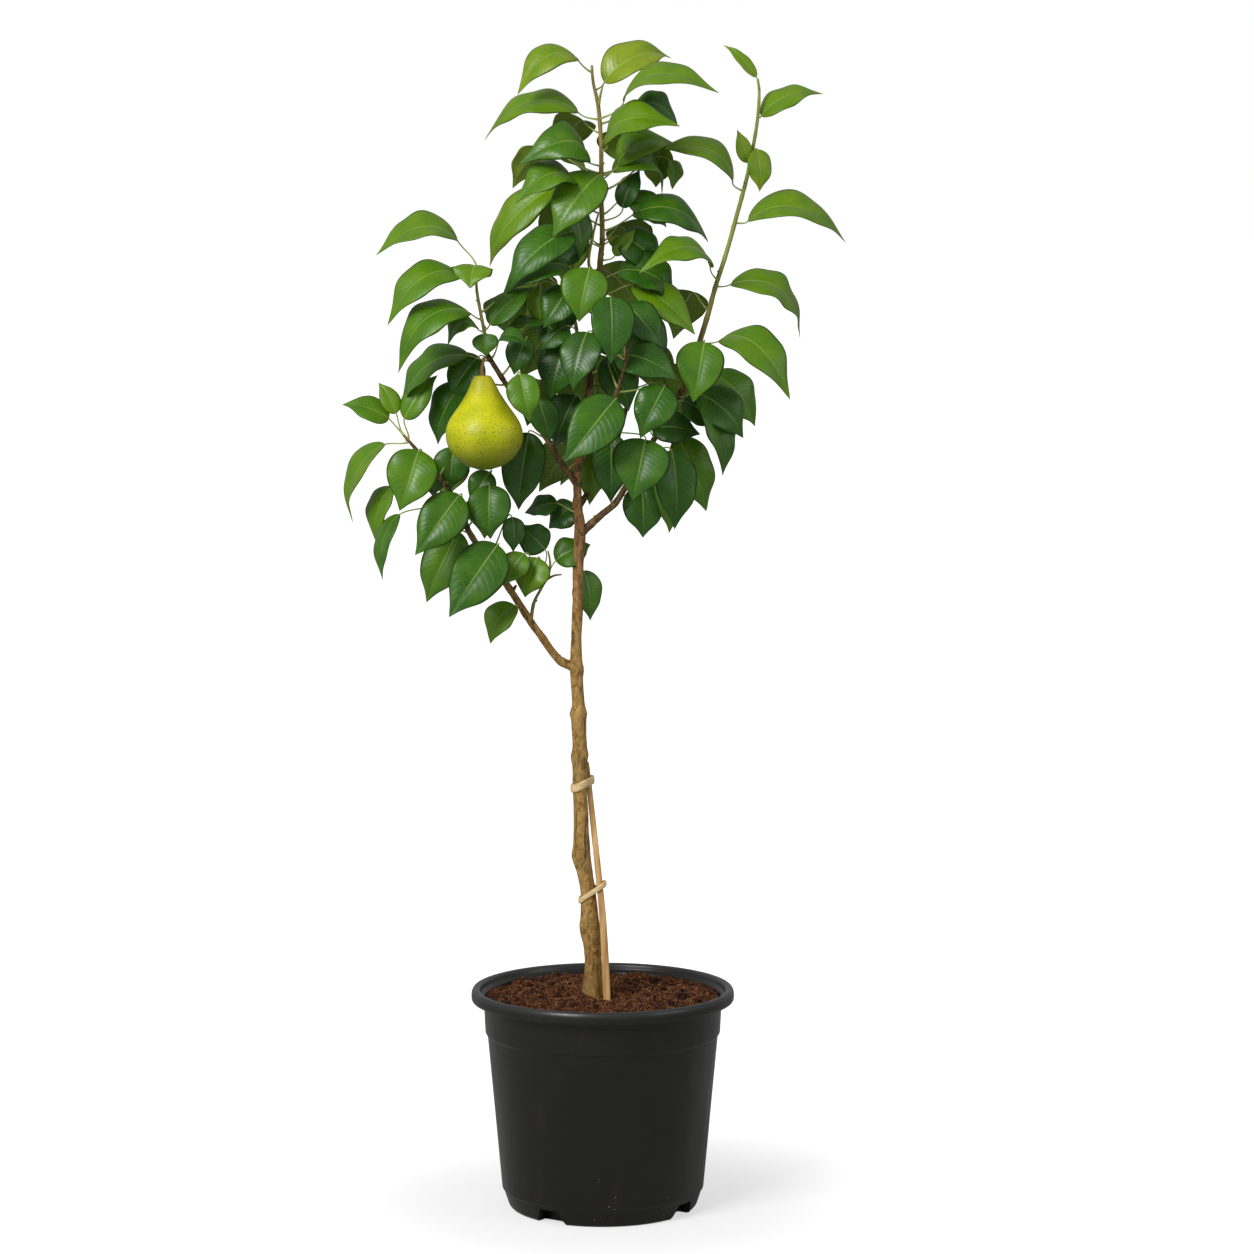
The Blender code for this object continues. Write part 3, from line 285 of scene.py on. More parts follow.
# Inner and rear leaves that the CAD leaves out
INNER_LEAVES = (
    ("leaf_crown", 1, (
        ("trunk", (-5.4, 1.8, 104.3), (-8.9, 2.4, 100.8), 3.6, 0.9, -32, -20, 0.8),
        ("trunk", (-1.6, 1.0, 102.2), (-5.4, 2.6, 104.2), 3.2, 0.6, -30, 0, 0.45),
        ("trunk", (-2.6, -2.2, 101.1), (-8.3, -4.6, 99.3), 4.6, 2.1, 36, 0, 0.55),
        ("trunk", (-0.2, -2.6, 101.9), (-4.8, -5.2, 96.2), 5.0, 0.9, 64, -10, 0.5),
        ("trunk", (6.6, 2.6, 103.3), (6.9, 3.2, 100.5), 2.6, 0.4, 60, 45, 0.6),
        ("trunk", (2.0, 2.2, 98.7), (3.6, 3.2, 102.5), 2.4, 0.5, 40, 0, 0.15),
        ("trunk", (3.0, 0.9, 108.4), (7.4, 1.6, 106.8), 3.8, 1.5, 44, 0, 0.2),
    )),
    ("leaf_heart", 1, (
        ("trunk", (-3.0, -1.6, 99.4), (-1.9, -2.4, 93.9), 3.0, 0.4, 72, 30, 0.3),
        ("trunk", (-3.0, -2.4, 92.9), (-9.8, -4.2, 90.7), 4.4, 1.6, 40, 0, 0.25),
        ("trunk", (-3.1, -2.8, 91.0), (-5.7, -4.2, 87.4), 3.8, 0.4, 70, -10, 0.25),
        ("trunk", (1.5, 0.8, 92.5), (7.5, 1.6, 89.8), 4.8, 1.6, 44, 0, 0.25),
        ("trunk", (3.0, 0.2, 91.3), (9.1, -0.8, 86.6), 4.4, 0.9, 40, 0, 0.7),
        ("front_limb", (2.3, -3.0, 89.5), (5.9, -4.6, 85.6), 3.8, 0.5, 62, 10, 0.2),
        ("trunk", (1.4, -4.0, 84.5), (7.3, -5.6, 82.5), 4.6, 1.2, 52, 0, 0.2),
        ("front_limb", (-1.4, -5.0, 86.9), (-2.9, -7.0, 81.6), 4.2, 0.6, 70, -15, 0.2),
        ("front_limb", (0.6, -2.6, 84.5), (2.6, -3.4, 79.2), 4.0, 0.5, 70, 10, 0.15),
        ("trunk", (1.2, 0.6, 94.1), (3.2, 1.0, 96.7), 1.7, 0.2, 55, 0, 0.7),
        ("trunk", (2.6, -1.4, 88.6), (6.2, -2.2, 83.4), 4.6, 0.7, 62, 0, 0.12),
        ("trunk", (-3.4, -1.4, 85.6), (-5.2, -2.2, 80.4), 4.4, 0.6, 66, -10, 0.12),
        ("trunk", (-2.4, 1.4, 90.0), (-6.4, 2.4, 85.7), 4.6, 1.0, 55, 0, 0.15),
        ("trunk", (-1.6, 0.8, 95.9), (-5.4, 1.6, 92.4), 4.4, 1.0, 50, 0, 0.2),
        ("trunk", (1.6, 1.6, 96.0), (5.8, 2.4, 92.3), 4.4, 1.0, 50, 0, 0.2),
        ("trunk", (-0.6, 1.6, 87.8), (3.2, 2.4, 83.9), 4.6, 0.8, 60, 0, 0.12),
        ("trunk", (-2.6, 1.0, 80.5), (-4.8, 1.6, 75.4), 4.4, 0.7, 66, 0, 0.12),
    )),
    ("leaf_spur", 1, (
        ("upper_left_limb", (-6.2, -3.0, 80.3), (-5.0, -3.4, 76.2), 3.0, 0.4, 72, 10, 0.2),
        ("left_top_shoot", (-10.8, -5.0, 87.6), (-6.8, -3.6, 91.4), 3.4, 0.5, 36, 0, 0.35),
        ("left_top_shoot", (-11.9, -6.8, 87.3), (-14.8, -7.6, 86.0), 3.0, 1.6, 34, 0, 0.5),
        ("upper_left_limb", (-11.3, -6.9, 86.8), (-11.1, -7.5, 84.7), 2.5, 0.2, 74, 0, 0.35),
        ("upper_left_limb", (-9.8, -6.2, 86.3), (-7.1, -6.9, 85.8), 2.2, 0.8, 40, 0, 0.25),
        ("upper_left_limb", (-7.3, -4.4, 86.3), (-8.5, -4.9, 82.8), 2.8, 0.4, 60, 0, 0.2),
        ("trunk", (-5.6, -3.0, 87.7), (-9.5, -3.4, 87.2), 2.8, 0.5, 24, 0, 0.3),
        ("trunk", (-6.0, -2.4, 91.3), (-6.2, -3.0, 87.5), 2.4, 0.3, 60, -25, 0.75),
        ("trunk", (-3.4, -2.0, 87.4), (-6.2, -2.8, 85.1), 3.2, 0.5, 52, 0, 0.2),
        ("left_top_shoot", (-12.1, -6.8, 93.3), (-12.5, -9.2, 91.4), 4.0, 0.4, 42, 0, 0.7),
        ("upper_left_limb", (-11.9, -3.6, 84.5), (-14.9, -3.2, 80.6), 4.0, 0.5, 60, 0, 0.2),
        ("upper_left_limb", (-13.4, -3.0, 81.9), (-16.4, -2.8, 76.1), 4.2, 0.7, 60, -30, 0.2),
    )),
    ("leaf_skirt", 1, (
        ("low_left_limb", (-16.2, -2.2, 74.4), (-16.5, -2.2, 70.8), 3.0, 0.4, 70, 0, 0.2),
        ("low_left_limb", (-14.4, -2.6, 75.7), (-14.8, -2.8, 71.5), 3.6, 0.4, 74, 0, 0.3),
        ("low_left_limb", (-10.9, -3.0, 73.3), (-12.8, -3.4, 70.3), 2.8, 0.3, 66, 0, 0.25),
        ("low_left_limb", (-19.9, -3.6, 79.0), (-21.6, -3.2, 82.0), 2.0, 0.3, 55, 0, 0.75),
        ("low_left_limb", (-19.1, -4.0, 78.5), (-16.0, -3.8, 82.8), 2.8, 0.4, 50, 0, 0.5),
        ("low_left_limb", (-20.4, -2.2, 71.8), (-22.3, -2.2, 66.4), 4.0, 0.7, 60, -50, 0.6),
        ("low_left_twig", (-6.3, -1.5, 64.8), (-7.6, -2.2, 61.0), 3.8, 0.4, 68, -15, 0.65),
        ("low_left_twig", (-7.6, -2.4, 65.3), (-9.5, -2.9, 62.3), 3.0, 0.4, 62, -10, 0.6),
        ("low_left_limb", (-8.8, -1.6, 68.8), (-8.6, -1.9, 65.4), 2.6, 0.3, 66, 30, 0.25),
        ("low_left_twig", (-5.6, 0.4, 65.4), (-8.2, 0.7, 67.9), 3.4, 0.4, 62, 0, 0.2),
        ("trunk", (-4.4, 1.2, 69.9), (-7.7, 1.6, 69.0), 2.8, 0.4, 44, 0, 0.2),
        ("trunk", (-2.6, 1.8, 69.6), (-5.4, 2.2, 67.4), 3.4, 0.4, 50, 0, 0.15),
        ("low_left_twig", (-4.6, 0.6, 64.3), (-1.2, 1.4, 66.0), 3.4, 0.5, 56, 0, 0.35),
        ("trunk", (-1.9, 1.1, 63.3), (-1.1, 1.4, 58.3), 3.0, 0.5, 62, 30, 0.4),
        ("low_left_limb", (-8.5, -2.3, 60.2), (-11.1, -2.6, 56.6), 3.4, 0.9, 36, 0, 0.6),
    )),
    ("leaf_east", 1, (
        ("right_shoot", (15.1, 2.8, 104.4), (15.4, 2.5, 100.3), 2.6, 0.3, 72, 20, 0.8),
        ("right_shoot", (15.0, 3.6, 111.4), (12.0, 3.8, 114.7), 1.3, 0.3, 52, 0, 0.75),
        ("right_shoot", (14.2, 2.9, 103.1), (13.2, 2.7, 106.3), 1.6, 0.2, 62, 0, 0.8),
        ("right_limb", (9.4, 0.6, 80.7), (14.0, 0.9, 76.5), 4.6, 0.9, 50, 0, 0.25),
        ("right_limb", (7.9, 1.4, 80.0), (11.2, 1.9, 77.4), 3.6, 0.5, 56, 0, 0.15),
        ("right_limb", (10.7, 4.4, 82.3), (15.2, 5.2, 77.3), 4.6, 1.2, 50, 20, 0.5),
        ("right_limb", (4.8, 0.9, 77.3), (9.6, 1.4, 76.7), 3.8, 0.6, 56, 0, 0.15),
        ("right_limb", (5.9, 2.8, 72.9), (6.9, 3.0, 66.8), 3.6, 0.5, 68, 30, 0.5),
        ("right_limb", (3.9, 2.6, 71.6), (3.95, 2.4, 66.4), 4.1, 0.5, 76, 0, 0.2),
        ("back_low_limb", (-1.1, 2.4, 75.0), (-1.25, 2.6, 69.6), 3.0, 0.4, 70, 20, 0.65),
        ("back_low_limb", (0.9, 1.4, 76.7), (0.8, 1.4, 69.9), 3.8, 0.5, 74, 0, 0.15),
    )),
    ("leaf_rear", 1, (
        ("back_limb", (-4.6, 4.6, 86.5), (-8.2, 6.6, 81.9), 4.6, 1.4, -50, 0, 0.3),
        ("back_limb", (1.2, 6.4, 87.1), (5.6, 8.6, 82.7), 4.8, 1.4, -50, 0, 0.3),
        ("back_limb", (-5.6, 6.6, 92.1), (-8.2, 8.8, 87.4), 4.4, 1.2, -50, 0, 0.45),
        ("back_limb", (-3.2, 10.4, 95.9), (-4.0, 12.5, 91.2), 4.4, 1.2, -55, 0, 0.5),
        ("back_limb", (-1.0, 7.0, 83.0), (-0.4, 9.0, 77.6), 4.8, 0.8, -68, 0, 0.25),
        ("back_low_limb", (-2.6, 5.8, 74.6), (-6.4, 8.4, 70.7), 4.8, 1.3, -50, 0, 0.35),
        ("back_low_limb", (3.4, 6.0, 73.7), (6.8, 8.6, 69.3), 4.8, 1.3, -50, 0, 0.35),
        ("back_low_limb", (-0.6, 8.4, 80.9), (-4.6, 10.8, 76.4), 4.8, 1.3, -52, 0, 0.3),
        ("back_low_limb", (3.6, 10.8, 84.6), (6.6, 12.5, 79.8), 4.4, 1.0, -58, 0, 0.45),
        ("back_low_limb", (0.8, 11.0, 83.6), (-2.4, 12.5, 79.0), 4.6, 1.0, -58, 0, 0.45),
        ("right_limb", (7.4, 5.6, 83.4), (9.8, 8.4, 78.3), 4.8, 1.2, -52, 0, 0.4),
        ("right_shoot", (9.0, 5.8, 90.4), (7.0, 8.6, 85.9), 4.6, 1.2, -54, 0, 0.4),
        ("trunk", (1.6, 3.4, 97.0), (4.2, 6.4, 92.7), 4.6, 1.2, -50, 0, 0.45),
        ("trunk", (-2.6, 3.2, 98.6), (-5.8, 5.8, 94.6), 4.6, 1.2, -50, 0, 0.5),
        ("trunk", (0.6, 3.0, 106.1), (2.8, 5.8, 102.4), 4.2, 1.2, -50, 0, 0.6),
        ("trunk", (-1.8, 2.8, 107.1), (-4.2, 5.8, 103.8), 4.2, 1.2, -50, 0, 0.6),
        ("upper_left_limb", (-6.2, -0.6, 82.1), (-7.4, 2.0, 77.6), 4.4, 1.0, -56, 0, 0.25),
        ("left_top_shoot", (-9.8, -3.0, 90.3), (-8.6, -0.4, 86.2), 4.2, 1.0, -52, 0, 0.35),
        ("low_left_limb", (-14.8, -0.6, 74.1), (-15.6, 2.0, 70.4), 4.2, 1.0, -56, 0, 0.35),
        ("low_left_limb", (-11.6, -0.4, 70.4), (-11.6, 1.8, 66.6), 4.0, 0.9, -60, 0, 0.3),
    )),
    ("leaf_crown", 12, (
        ("trunk", (1.5, 1.4, 102.9), (7.1, 2.6, 105.0), 4.4, 1.7, 40, 0, 0.6),
        ("trunk", (5.7, 3.4, 104.8), (5.2, 4.2, 100.6), 3.0, 0.4, 70, 0, 0.8),
        ("trunk", (2.4, 2.6, 99.6), (6.4, 4.0, 96.9), 3.4, 0.9, 52, 0, 0.35),
    )),
)

# Camera, level with the middle of the crown and tipped down a little
CAMERA_PLACE = (0.024, -4.0, 1.02)
CAMERA_PITCH = 6.3
CAMERA_LENS = 117.8
SENSOR = 36.0

# Fineness of the meshes
STEM_SPACING = 0.0016
TRUNK_SIDES = 44
LIMB_SIDES = 24
POT_SEGMENTS = 160
SOIL_SEGMENTS = 300
SOIL_RINGS = 92
TIE_STEPS = 144
TIE_SIDES = 16
CRUMBS, QUICK_CRUMBS = 1250, 300
FIBRES, QUICK_FIBRES = 760, 150
SPECKS = 26

# Leaf building
LEAF_STATIONS = 34
LEAF_COLUMNS = 14
BLADE_THICKNESS = 0.0005
PETIOLE_RADIUS = 0.0007
STALK_STEPS = 14
# Share of a leaf's distance from its shoot by which its stalk starts further back
WALK_BACK = 0.4


# ---------------------------------------------------------------- small helpers


def smoothstep(low, high, value):
    t = min(max((value - low) / (high - low), 0.0), 1.0)
    return t * t * (3.0 - 2.0 * t)


def fine_noise(point, scale, octaves=3, seed=0.0):
    """Fractal noise, about -1 to 1."""
    place = point * scale + Vector((seed, seed * 1.7, seed * 0.3))
    return noise.fractal(place, 0.6, 2.0, octaves)


def turns(count):
    """Evenly spaced angles of one full turn."""
    return [2.0 * math.pi * k / count for k in range(count)]


def level_way(angle):
    return Vector((math.cos(angle), math.sin(angle), 0.0))


def linked(name, data):
    obj = bpy.data.objects.new(name, data)
    bpy.context.scene.collection.objects.link(obj)
    return obj


def new_object(name, verts, faces, smooth=True):
    mesh = bpy.data.meshes.new(name)
    mesh.from_pydata([tuple(v) for v in verts], [], faces)
    mesh.update()
    if smooth:
        mesh.shade_smooth()
    return linked(name, mesh)


def object_from_bmesh(name, mesh_data):
    bmesh.ops.recalc_face_normals(mesh_data, faces=mesh_data.faces)
    if mesh_data.calc_volume(signed=True) < 0.0:
        bmesh.ops.reverse_faces(mesh_data, faces=mesh_data.faces)
    mesh = bpy.data.meshes.new(name)
    mesh_data.to_mesh(mesh)
    mesh_data.free()
    return linked(name, mesh)


def smooth_below(obj, degrees):
    """Smooth shading, with edges sharper than this kept sharp."""
    obj.data.shade_smooth()
    obj.data.set_sharp_from_angle(angle=math.radians(degrees))


def finish_piece(obj, materials, nodes=()):
    """Give a piece its materials and its body, and hide the CAD nodes it stands for."""
    for material in materials:
        obj.data.materials.append(material)
    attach(obj, BODY)
    if nodes:
        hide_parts(*nodes)


def add_piece(name, mesh, material, nodes=()):
    """A piece of one material from (verts, faces)."""
    obj = new_object(name, *mesh)
    finish_piece(obj, [material], nodes)
    return obj


def catmull(p0, p1, p2, p3, t):
    return 0.5 * (
        2.0 * p1
        + (p2 - p0) * t
        + (2.0 * p0 - 5.0 * p1 + 4.0 * p2 - p3) * t * t
        + (3.0 * p1 - p0 - 3.0 * p2 + p3) * t * t * t
    )


def smooth_path(points, spacing):
    """Evenly fine curve through (x, y, z, radius) rows in centimetres, as (point, radius)."""
    rows = [(Vector(row[:3]) * CM, row[3] * CM) for row in points]
    last = len(rows) - 1
    path = []
    for i in range(last):
        before, start = rows[max(i - 1, 0)], rows[i]
        end, after = rows[i + 1], rows[min(i + 2, last)]
        steps = max(1, int(math.ceil((end[0] - start[0]).length / spacing)))
        for step in range(steps):
            t = step / steps
            point = catmull(before[0], start[0], end[0], after[0], t)
            radius = catmull(before[1], start[1], end[1], after[1], t)
            path.append((point, radius))
    path.append(rows[last])
    return path


def coarse_path(points):
    """The CAD's own polyline, as (point, radius)."""
    return [(Vector(row[:3]) * CM, row[3] * CM) for row in points]


def frames_along(path):
    """Twist-free (point, radius, along, side, other, distance) for each point of a path."""
    found = []
    side = None
    distance = 0.0
    count = len(path)
    for i, (point, radius) in enumerate(path):
        along = (path[min(i + 1, count - 1)][0] - path[max(i - 1, 0)][0]).normalized()
        if side is None:
            side = Vector((1.0, 0.0, 0.0)) if abs(along.x) < 0.9 else Vector((0.0, 1.0, 0.0))
        side = (side - along * side.dot(along)).normalized()
        other = along.cross(side)
        if i:
            distance += (point - path[i - 1][0]).length
        found.append((point, radius, along, side, other, distance))
    return found


def skinned(verts, sides, bottom, top):
    """Closed skin over rings of points, with a point to close each end, as (verts, faces)."""
    faces = []
    last = len(verts) - sides
    for start in range(0, last, sides):
        for k in range(sides):
            a, b = start + k, start + (k + 1) % sides
            faces.append((a, b, b + sides, a + sides))
    for k in range(sides):
        n = (k + 1) % sides
        faces.append((len(verts), n, k))
        faces.append((len(verts) + 1, last + k, last + n))
    return verts + [bottom, top], faces


def tube_mesh(path, sides, shape=None, round_end=True):
    """Closed tube. shape(point, angle, distance, radius, direction) gives the radius there."""
    verts = []
    frames = frames_along(path)
    for point, radius, along, side, other, distance in frames:
        for angle in turns(sides):
            direction = side * math.cos(angle) + other * math.sin(angle)
            reach = shape(point, angle, distance, radius, direction) if shape else radius
            verts.append(point + direction * reach)
    start, start_radius, start_way = frames[0][:3]
    end, end_radius, end_way = frames[-1][:3]
    bottom = start - start_way * (start_radius * 0.3 if round_end else 0.0)
    top = end + end_way * (end_radius * 0.7 if round_end else 0.0)
    return skinned(verts, sides, bottom, top)


def joined(parts):
    """Several (verts, faces) lists as one."""
    verts, faces = [], []
    for part_verts, part_faces in parts:
        start = len(verts)
        verts.extend(part_verts)
        faces.extend(tuple(i + start for i in face) for face in part_faces)
    return verts, faces


def nearest_on(path, point):
    """How near a path comes to a point, and the place along it, in steps of the path."""
    best = None
    for i, ((a, _), (b, _)) in enumerate(zip(path, path[1:])):
        span = b - a
        t = min(max((point - a).dot(span) / span.length_squared, 0.0), 1.0)
        distance = (point - (a + span * t)).length
        if best is None or distance < best[0]:
            best = (distance, i + t)
    return best


def walk_back(path, place, distance):
    """Point, radius and direction on a path, a distance from a place towards its start."""
    i = min(int(place), len(path) - 2)
    t = place - i
    here = path[i][0].lerp(path[i + 1][0], t)
    left = distance
    while left > 0.0:
        start = path[i][0]
        step = (here - start).length
        if step >= left or i == 0:
            share = min(left / step, 1.0) if step > 0.0 else 0.0
            here = here.lerp(start, share)
            break
        left -= step
        here = start
        i -= 1
    span = path[i + 1][0] - path[i][0]
    t = min(max((here - path[i][0]).dot(span) / span.length_squared, 0.0), 1.0)
    radius = path[i][1] + (path[i + 1][1] - path[i][1]) * t
    return here, radius, span.normalized()


def bezier(a, b, c, d, t):
    s = 1.0 - t
    return a * s**3 + b * 3.0 * s * s * t + c * 3.0 * s * t * t + d * t**3


# ---------------------------------------------------------------- leaves


def arch_shape(s):
    """Rise of a midrib above its chord, 1 at the highest place."""
    return max(s, 0.0) ** 0.8 * max(1.0 - s, 0.0) ** 1.1 / 0.2701


def half_width_shape(s):
    """Half width of a blade along its midrib, 1 at the widest place."""
    return max(s, 0.0) ** 0.55 * max(1.0 - s, 0.0) ** 0.95 / 0.3729


def blade_half_width(s):
    """The same outline with a longer, narrower tip."""
    return half_width_shape(s) * (1.0 - 0.34 * smoothstep(0.66, 0.95, s))


def leaf_frame(base, tip, tilt, turn):
    chord = (tip - base).normalized()
    tilt = math.radians(tilt)
    turn = math.radians(turn)
    face = Vector((math.sin(tilt) * math.sin(turn), -math.sin(tilt) * math.cos(turn), math.cos(tilt)))
    face = (face - chord * face.dot(chord)).normalized()
    return chord, face, chord.cross(face)


def leaf_stalk(path, base, leave):
    """Curve of a leaf's stalk, from just inside the wood to the blade."""
    distance, place = nearest_on(path, base)
    end = path[-1][0]
    end_way = (end - path[-2][0]).normalized()
    if place >= len(path) - 1.0 and (base - end).normalized().dot(end_way) > 0.8:
        start, out = end - end_way * 0.001, end_way
    else:
        start, radius, along = walk_back(path, place, WALK_BACK * distance)
        out = (base - start).normalized()
        out = (out - along * out.dot(along) * 0.6).normalized()
        start = start + out * radius * 0.4
    reach = (base - start).length
    handle_a = start + out * reach * 0.35
    handle_b = base - leave * reach * 0.35
    return [bezier(start, handle_a, handle_b, base, i / STALK_STEPS) for i in range(STALK_STEPS + 1)]


def blade_section(u, half, fold, cup, wave):
    """Height of the blade over its midrib at u, -1 to 1 across it."""
    across = abs(u)
    return half * (fold * across - cup * across * across) + wave * across * across


def build_leaf(name, row, paths, rng, materials, nodes=()):
    """One leaf: a thin two-sided blade with a pale midrib, on its stalk."""
    shoot, base, tip, width, arch, tilt, turn, tone = row
    base = Vector(base) * CM
    tip = Vector(tip) * CM
    length = (tip - base).length
    chord, face, side = leaf_frame(base, tip, tilt, turn)
    half_width = width * CM * 0.5
    fold = rng.uniform(0.22, 0.46)
    cup = fold * rng.uniform(0.60, 1.15)
    wave_size = half_width * rng.uniform(0.03, 0.11)
    curl = length * rng.uniform(0.02, 0.14)
    wave_count = rng.uniform(1.6, 2.8)
    wave_phase = (rng.uniform(0.0, 6.28), rng.uniform(0.0, 6.28))
    skew = rng.uniform(-0.05, 0.05)
    sway = rng.uniform(-0.035, 0.035) * length
    verts, faces, uvs = [], [], []
    stations = [0.5 - 0.5 * math.cos(math.pi * i / LEAF_STATIONS) for i in range(LEAF_STATIONS + 1)]
    stations = [0.65 * even + 0.35 * (i / LEAF_STATIONS) for i, even in enumerate(stations)]
    top_rows, bottom_rows, centres = [], [], []
    for s in stations:
        middle = side * sway * math.sin(math.pi * s) * s - face * curl * smoothstep(0.62, 1.05, s) ** 1.5
        centres.append(base + chord * length * s + face * arch * CM * arch_shape(s) + middle)
    for i, s in enumerate(stations):
        tangent = (centres[min(i + 1, LEAF_STATIONS)] - centres[max(i - 1, 0)]).normalized()
        across = (side - tangent * side.dot(tangent)).normalized()
        normal = across.cross(tangent)
        half = half_width * blade_half_width(s)
        half = max(half, 0.00035 * (1.0 - 0.6 * smoothstep(0.9, 1.0, s)))
        top, bottom = [], []
        for j in range(LEAF_COLUMNS + 1):
            u = 2.0 * j / LEAF_COLUMNS - 1.0
            u = math.copysign(abs(u) ** 0.9, u)
            wave = wave_size * math.sin(wave_count * 2.0 * math.pi * s + wave_phase[u >= 0.0])
            wave *= math.sin(math.pi * min(max(s, 0.0), 1.0))
            lift = blade_section(u, half, fold, cup, wave)
            spread = half * u * (1.0 + skew * math.copysign(1.0, u))
            thick = BLADE_THICKNESS * 0.5 * (1.0 - abs(u) ** 6)
            groove = -0.00022 * math.exp(-(abs(u) * half / 0.0008) ** 2)
            rib = 0.00055 * (1.0 - 0.75 * s) * math.exp(-(abs(u) * half / 0.0009) ** 2)
            place = centres[i] + across * spread + normal * lift
            uv = ((u + 1.0) * 0.5, s)
            top.append(len(verts))
            verts.append(place + normal * (thick + groove))
            uvs.append(uv)
            if j in (0, LEAF_COLUMNS):
                bottom.append(top[-1])
                continue
            bottom.append(len(verts))
            verts.append(place - normal * (thick + rib))
            uvs.append(uv)
        top_rows.append(top)
        bottom_rows.append(bottom)
    for rows, turned in ((top_rows, 1), (bottom_rows, -1)):
        for i in range(LEAF_STATIONS):
            for j in range(LEAF_COLUMNS):
                quad = (rows[i][j], rows[i][j + 1], rows[i + 1][j + 1], rows[i + 1][j])
                faces.append(quad[::turned])
    for end, turned in ((0, -1), (-1, 1)):
        loop = top_rows[end] + bottom_rows[end][-2:0:-1]
        faces.append(tuple(loop[::turned]))
    top_count = LEAF_STATIONS * LEAF_COLUMNS
    blade_faces = len(faces)
    leave = (centres[1] - centres[0]).normalized()
    stalk = leaf_stalk(paths[shoot], base, leave)
    stalk_path = []
    for i, point in enumerate(stalk):
        t = i / (len(stalk) - 1)
        radius = PETIOLE_RADIUS * (1.0 + 0.9 * (1.0 - t) ** 4)
        stalk_path.append((point, radius))
    under = face * -0.00035
    for i in range(1, LEAF_STATIONS // 3):
        radius = PETIOLE_RADIUS * (1.0 - 0.75 * i / (LEAF_STATIONS // 3))
        stalk_path.append((centres[i] + under, max(radius, 0.0002)))
    stalk_verts, stalk_faces = tube_mesh(stalk_path, 8)
    start = len(verts)
    verts.extend(stalk_verts)
    uvs.extend((0.5, 0.0) for _ in stalk_verts)
    faces.extend(tuple(k + start for k in face_row) for face_row in stalk_faces)
    obj = new_object(name, verts, faces)
    mesh = obj.data
    slots = [0] * top_count + [1] * (blade_faces - top_count) + [2] * (len(faces) - blade_faces)
    mesh.polygons.foreach_set("material_index", slots)
    layer = mesh.uv_layers.new(name="blade")
    loops = [0] * len(mesh.loops)
    mesh.loops.foreach_get("vertex_index", loops)
    flat = [value for index in loops for value in uvs[index]]
    layer.data.foreach_set("uv", flat)
    shade = mesh.attributes.new(name="tone", type="FLOAT_COLOR", domain="POINT")
    tint = (tone, rng.random(), rng.random(), 1.0)
    shade.data.foreach_set("color", tint * len(mesh.vertices))
    finish_piece(obj, materials, nodes)


# ---------------------------------------------------------------- container and potting mix


def rounded_profile(points, reach, steps):
    """Soften every corner of a (radius, height) line with a short curve."""
    result = [points[0]]
    for before, corner, after in zip(points, points[1:], points[2:]):
        here = Vector(corner)
        back = Vector(before) - here
        ahead = Vector(after) - here
        cut = min(reach, back.length * 0.45, ahead.length * 0.45)
        start = here + back.normalized() * cut
        end = here + ahead.normalized() * cut
        for step in range(steps + 1):
            t = step / steps
            place = start * (1.0 - t) ** 2 + here * 2.0 * t * (1.0 - t) + end * t * t
            result.append((place.x, place.y))
    result.append(points[-1])
    return result


def revolve(profile, segments):
    """Closed solid of revolution about Z. The profile starts and ends on the axis."""
    mesh_data = bmesh.new()
    rings = []
    for radius, height in profile:
        if radius == 0.0:
            rings.append(mesh_data.verts.new((0.0, 0.0, height)))
            continue
        places = [(radius * math.cos(angle), radius * math.sin(angle), height) for angle in turns(segments)]
        rings.append([mesh_data.verts.new(place) for place in places])
    for first, second in zip(rings, rings[1:]):
        if isinstance(first, list) and isinstance(second, list):
            for i in range(segments):
                j = (i + 1) % segments
                mesh_data.faces.new((first[i], first[j], second[j], second[i]))
            continue
        pole, ring = (second, first) if isinstance(first, list) else (first, second)
        for i in range(segments):
            mesh_data.faces.new((pole, ring[i], ring[(i + 1) % segments]))
    return mesh_data


def block_between(first, second):
    """Closed block between two rings of points."""
    mesh_data = bmesh.new()
    rings = [[mesh_data.verts.new(point) for point in ring] for ring in (first, second)]
    count = len(first)
    for i in range(count):
        j = (i + 1) % count
        mesh_data.faces.new((rings[0][i], rings[0][j], rings[1][j], rings[1][i]))
    mesh_data.faces.new(rings[0])
    mesh_data.faces.new(rings[1])
    return mesh_data


def notch_axes(angle):
    """Unit vectors outwards through a notch and along the wall there."""
    forward = level_way(math.radians(angle))
    return forward, Vector((-forward.y, forward.x, 0.0))


def notch_block(angle, margin):
    """What a notch takes out of the container, or with a margin out of the mix."""
    forward, across = notch_axes(angle)
    foot = NOTCH_FOOT_WIDTH / 2.0 + margin
    top = NOTCH_TOP_WIDTH / 2.0 + margin
    outline = (
        (-foot, -0.01),
        (foot, -0.01),
        (foot, 0.0),
        (top, NOTCH_HEIGHT + margin),
        (-top, NOTCH_HEIGHT + margin),
        (-foot, 0.0),
    )
    return block_between(*(
        [forward * reach + across * a + Vector((0.0, 0.0, z)) for a, z in outline]
        for reach in (NOTCH_INNER_RADIUS - margin, RIM_RADIUS)
    ))


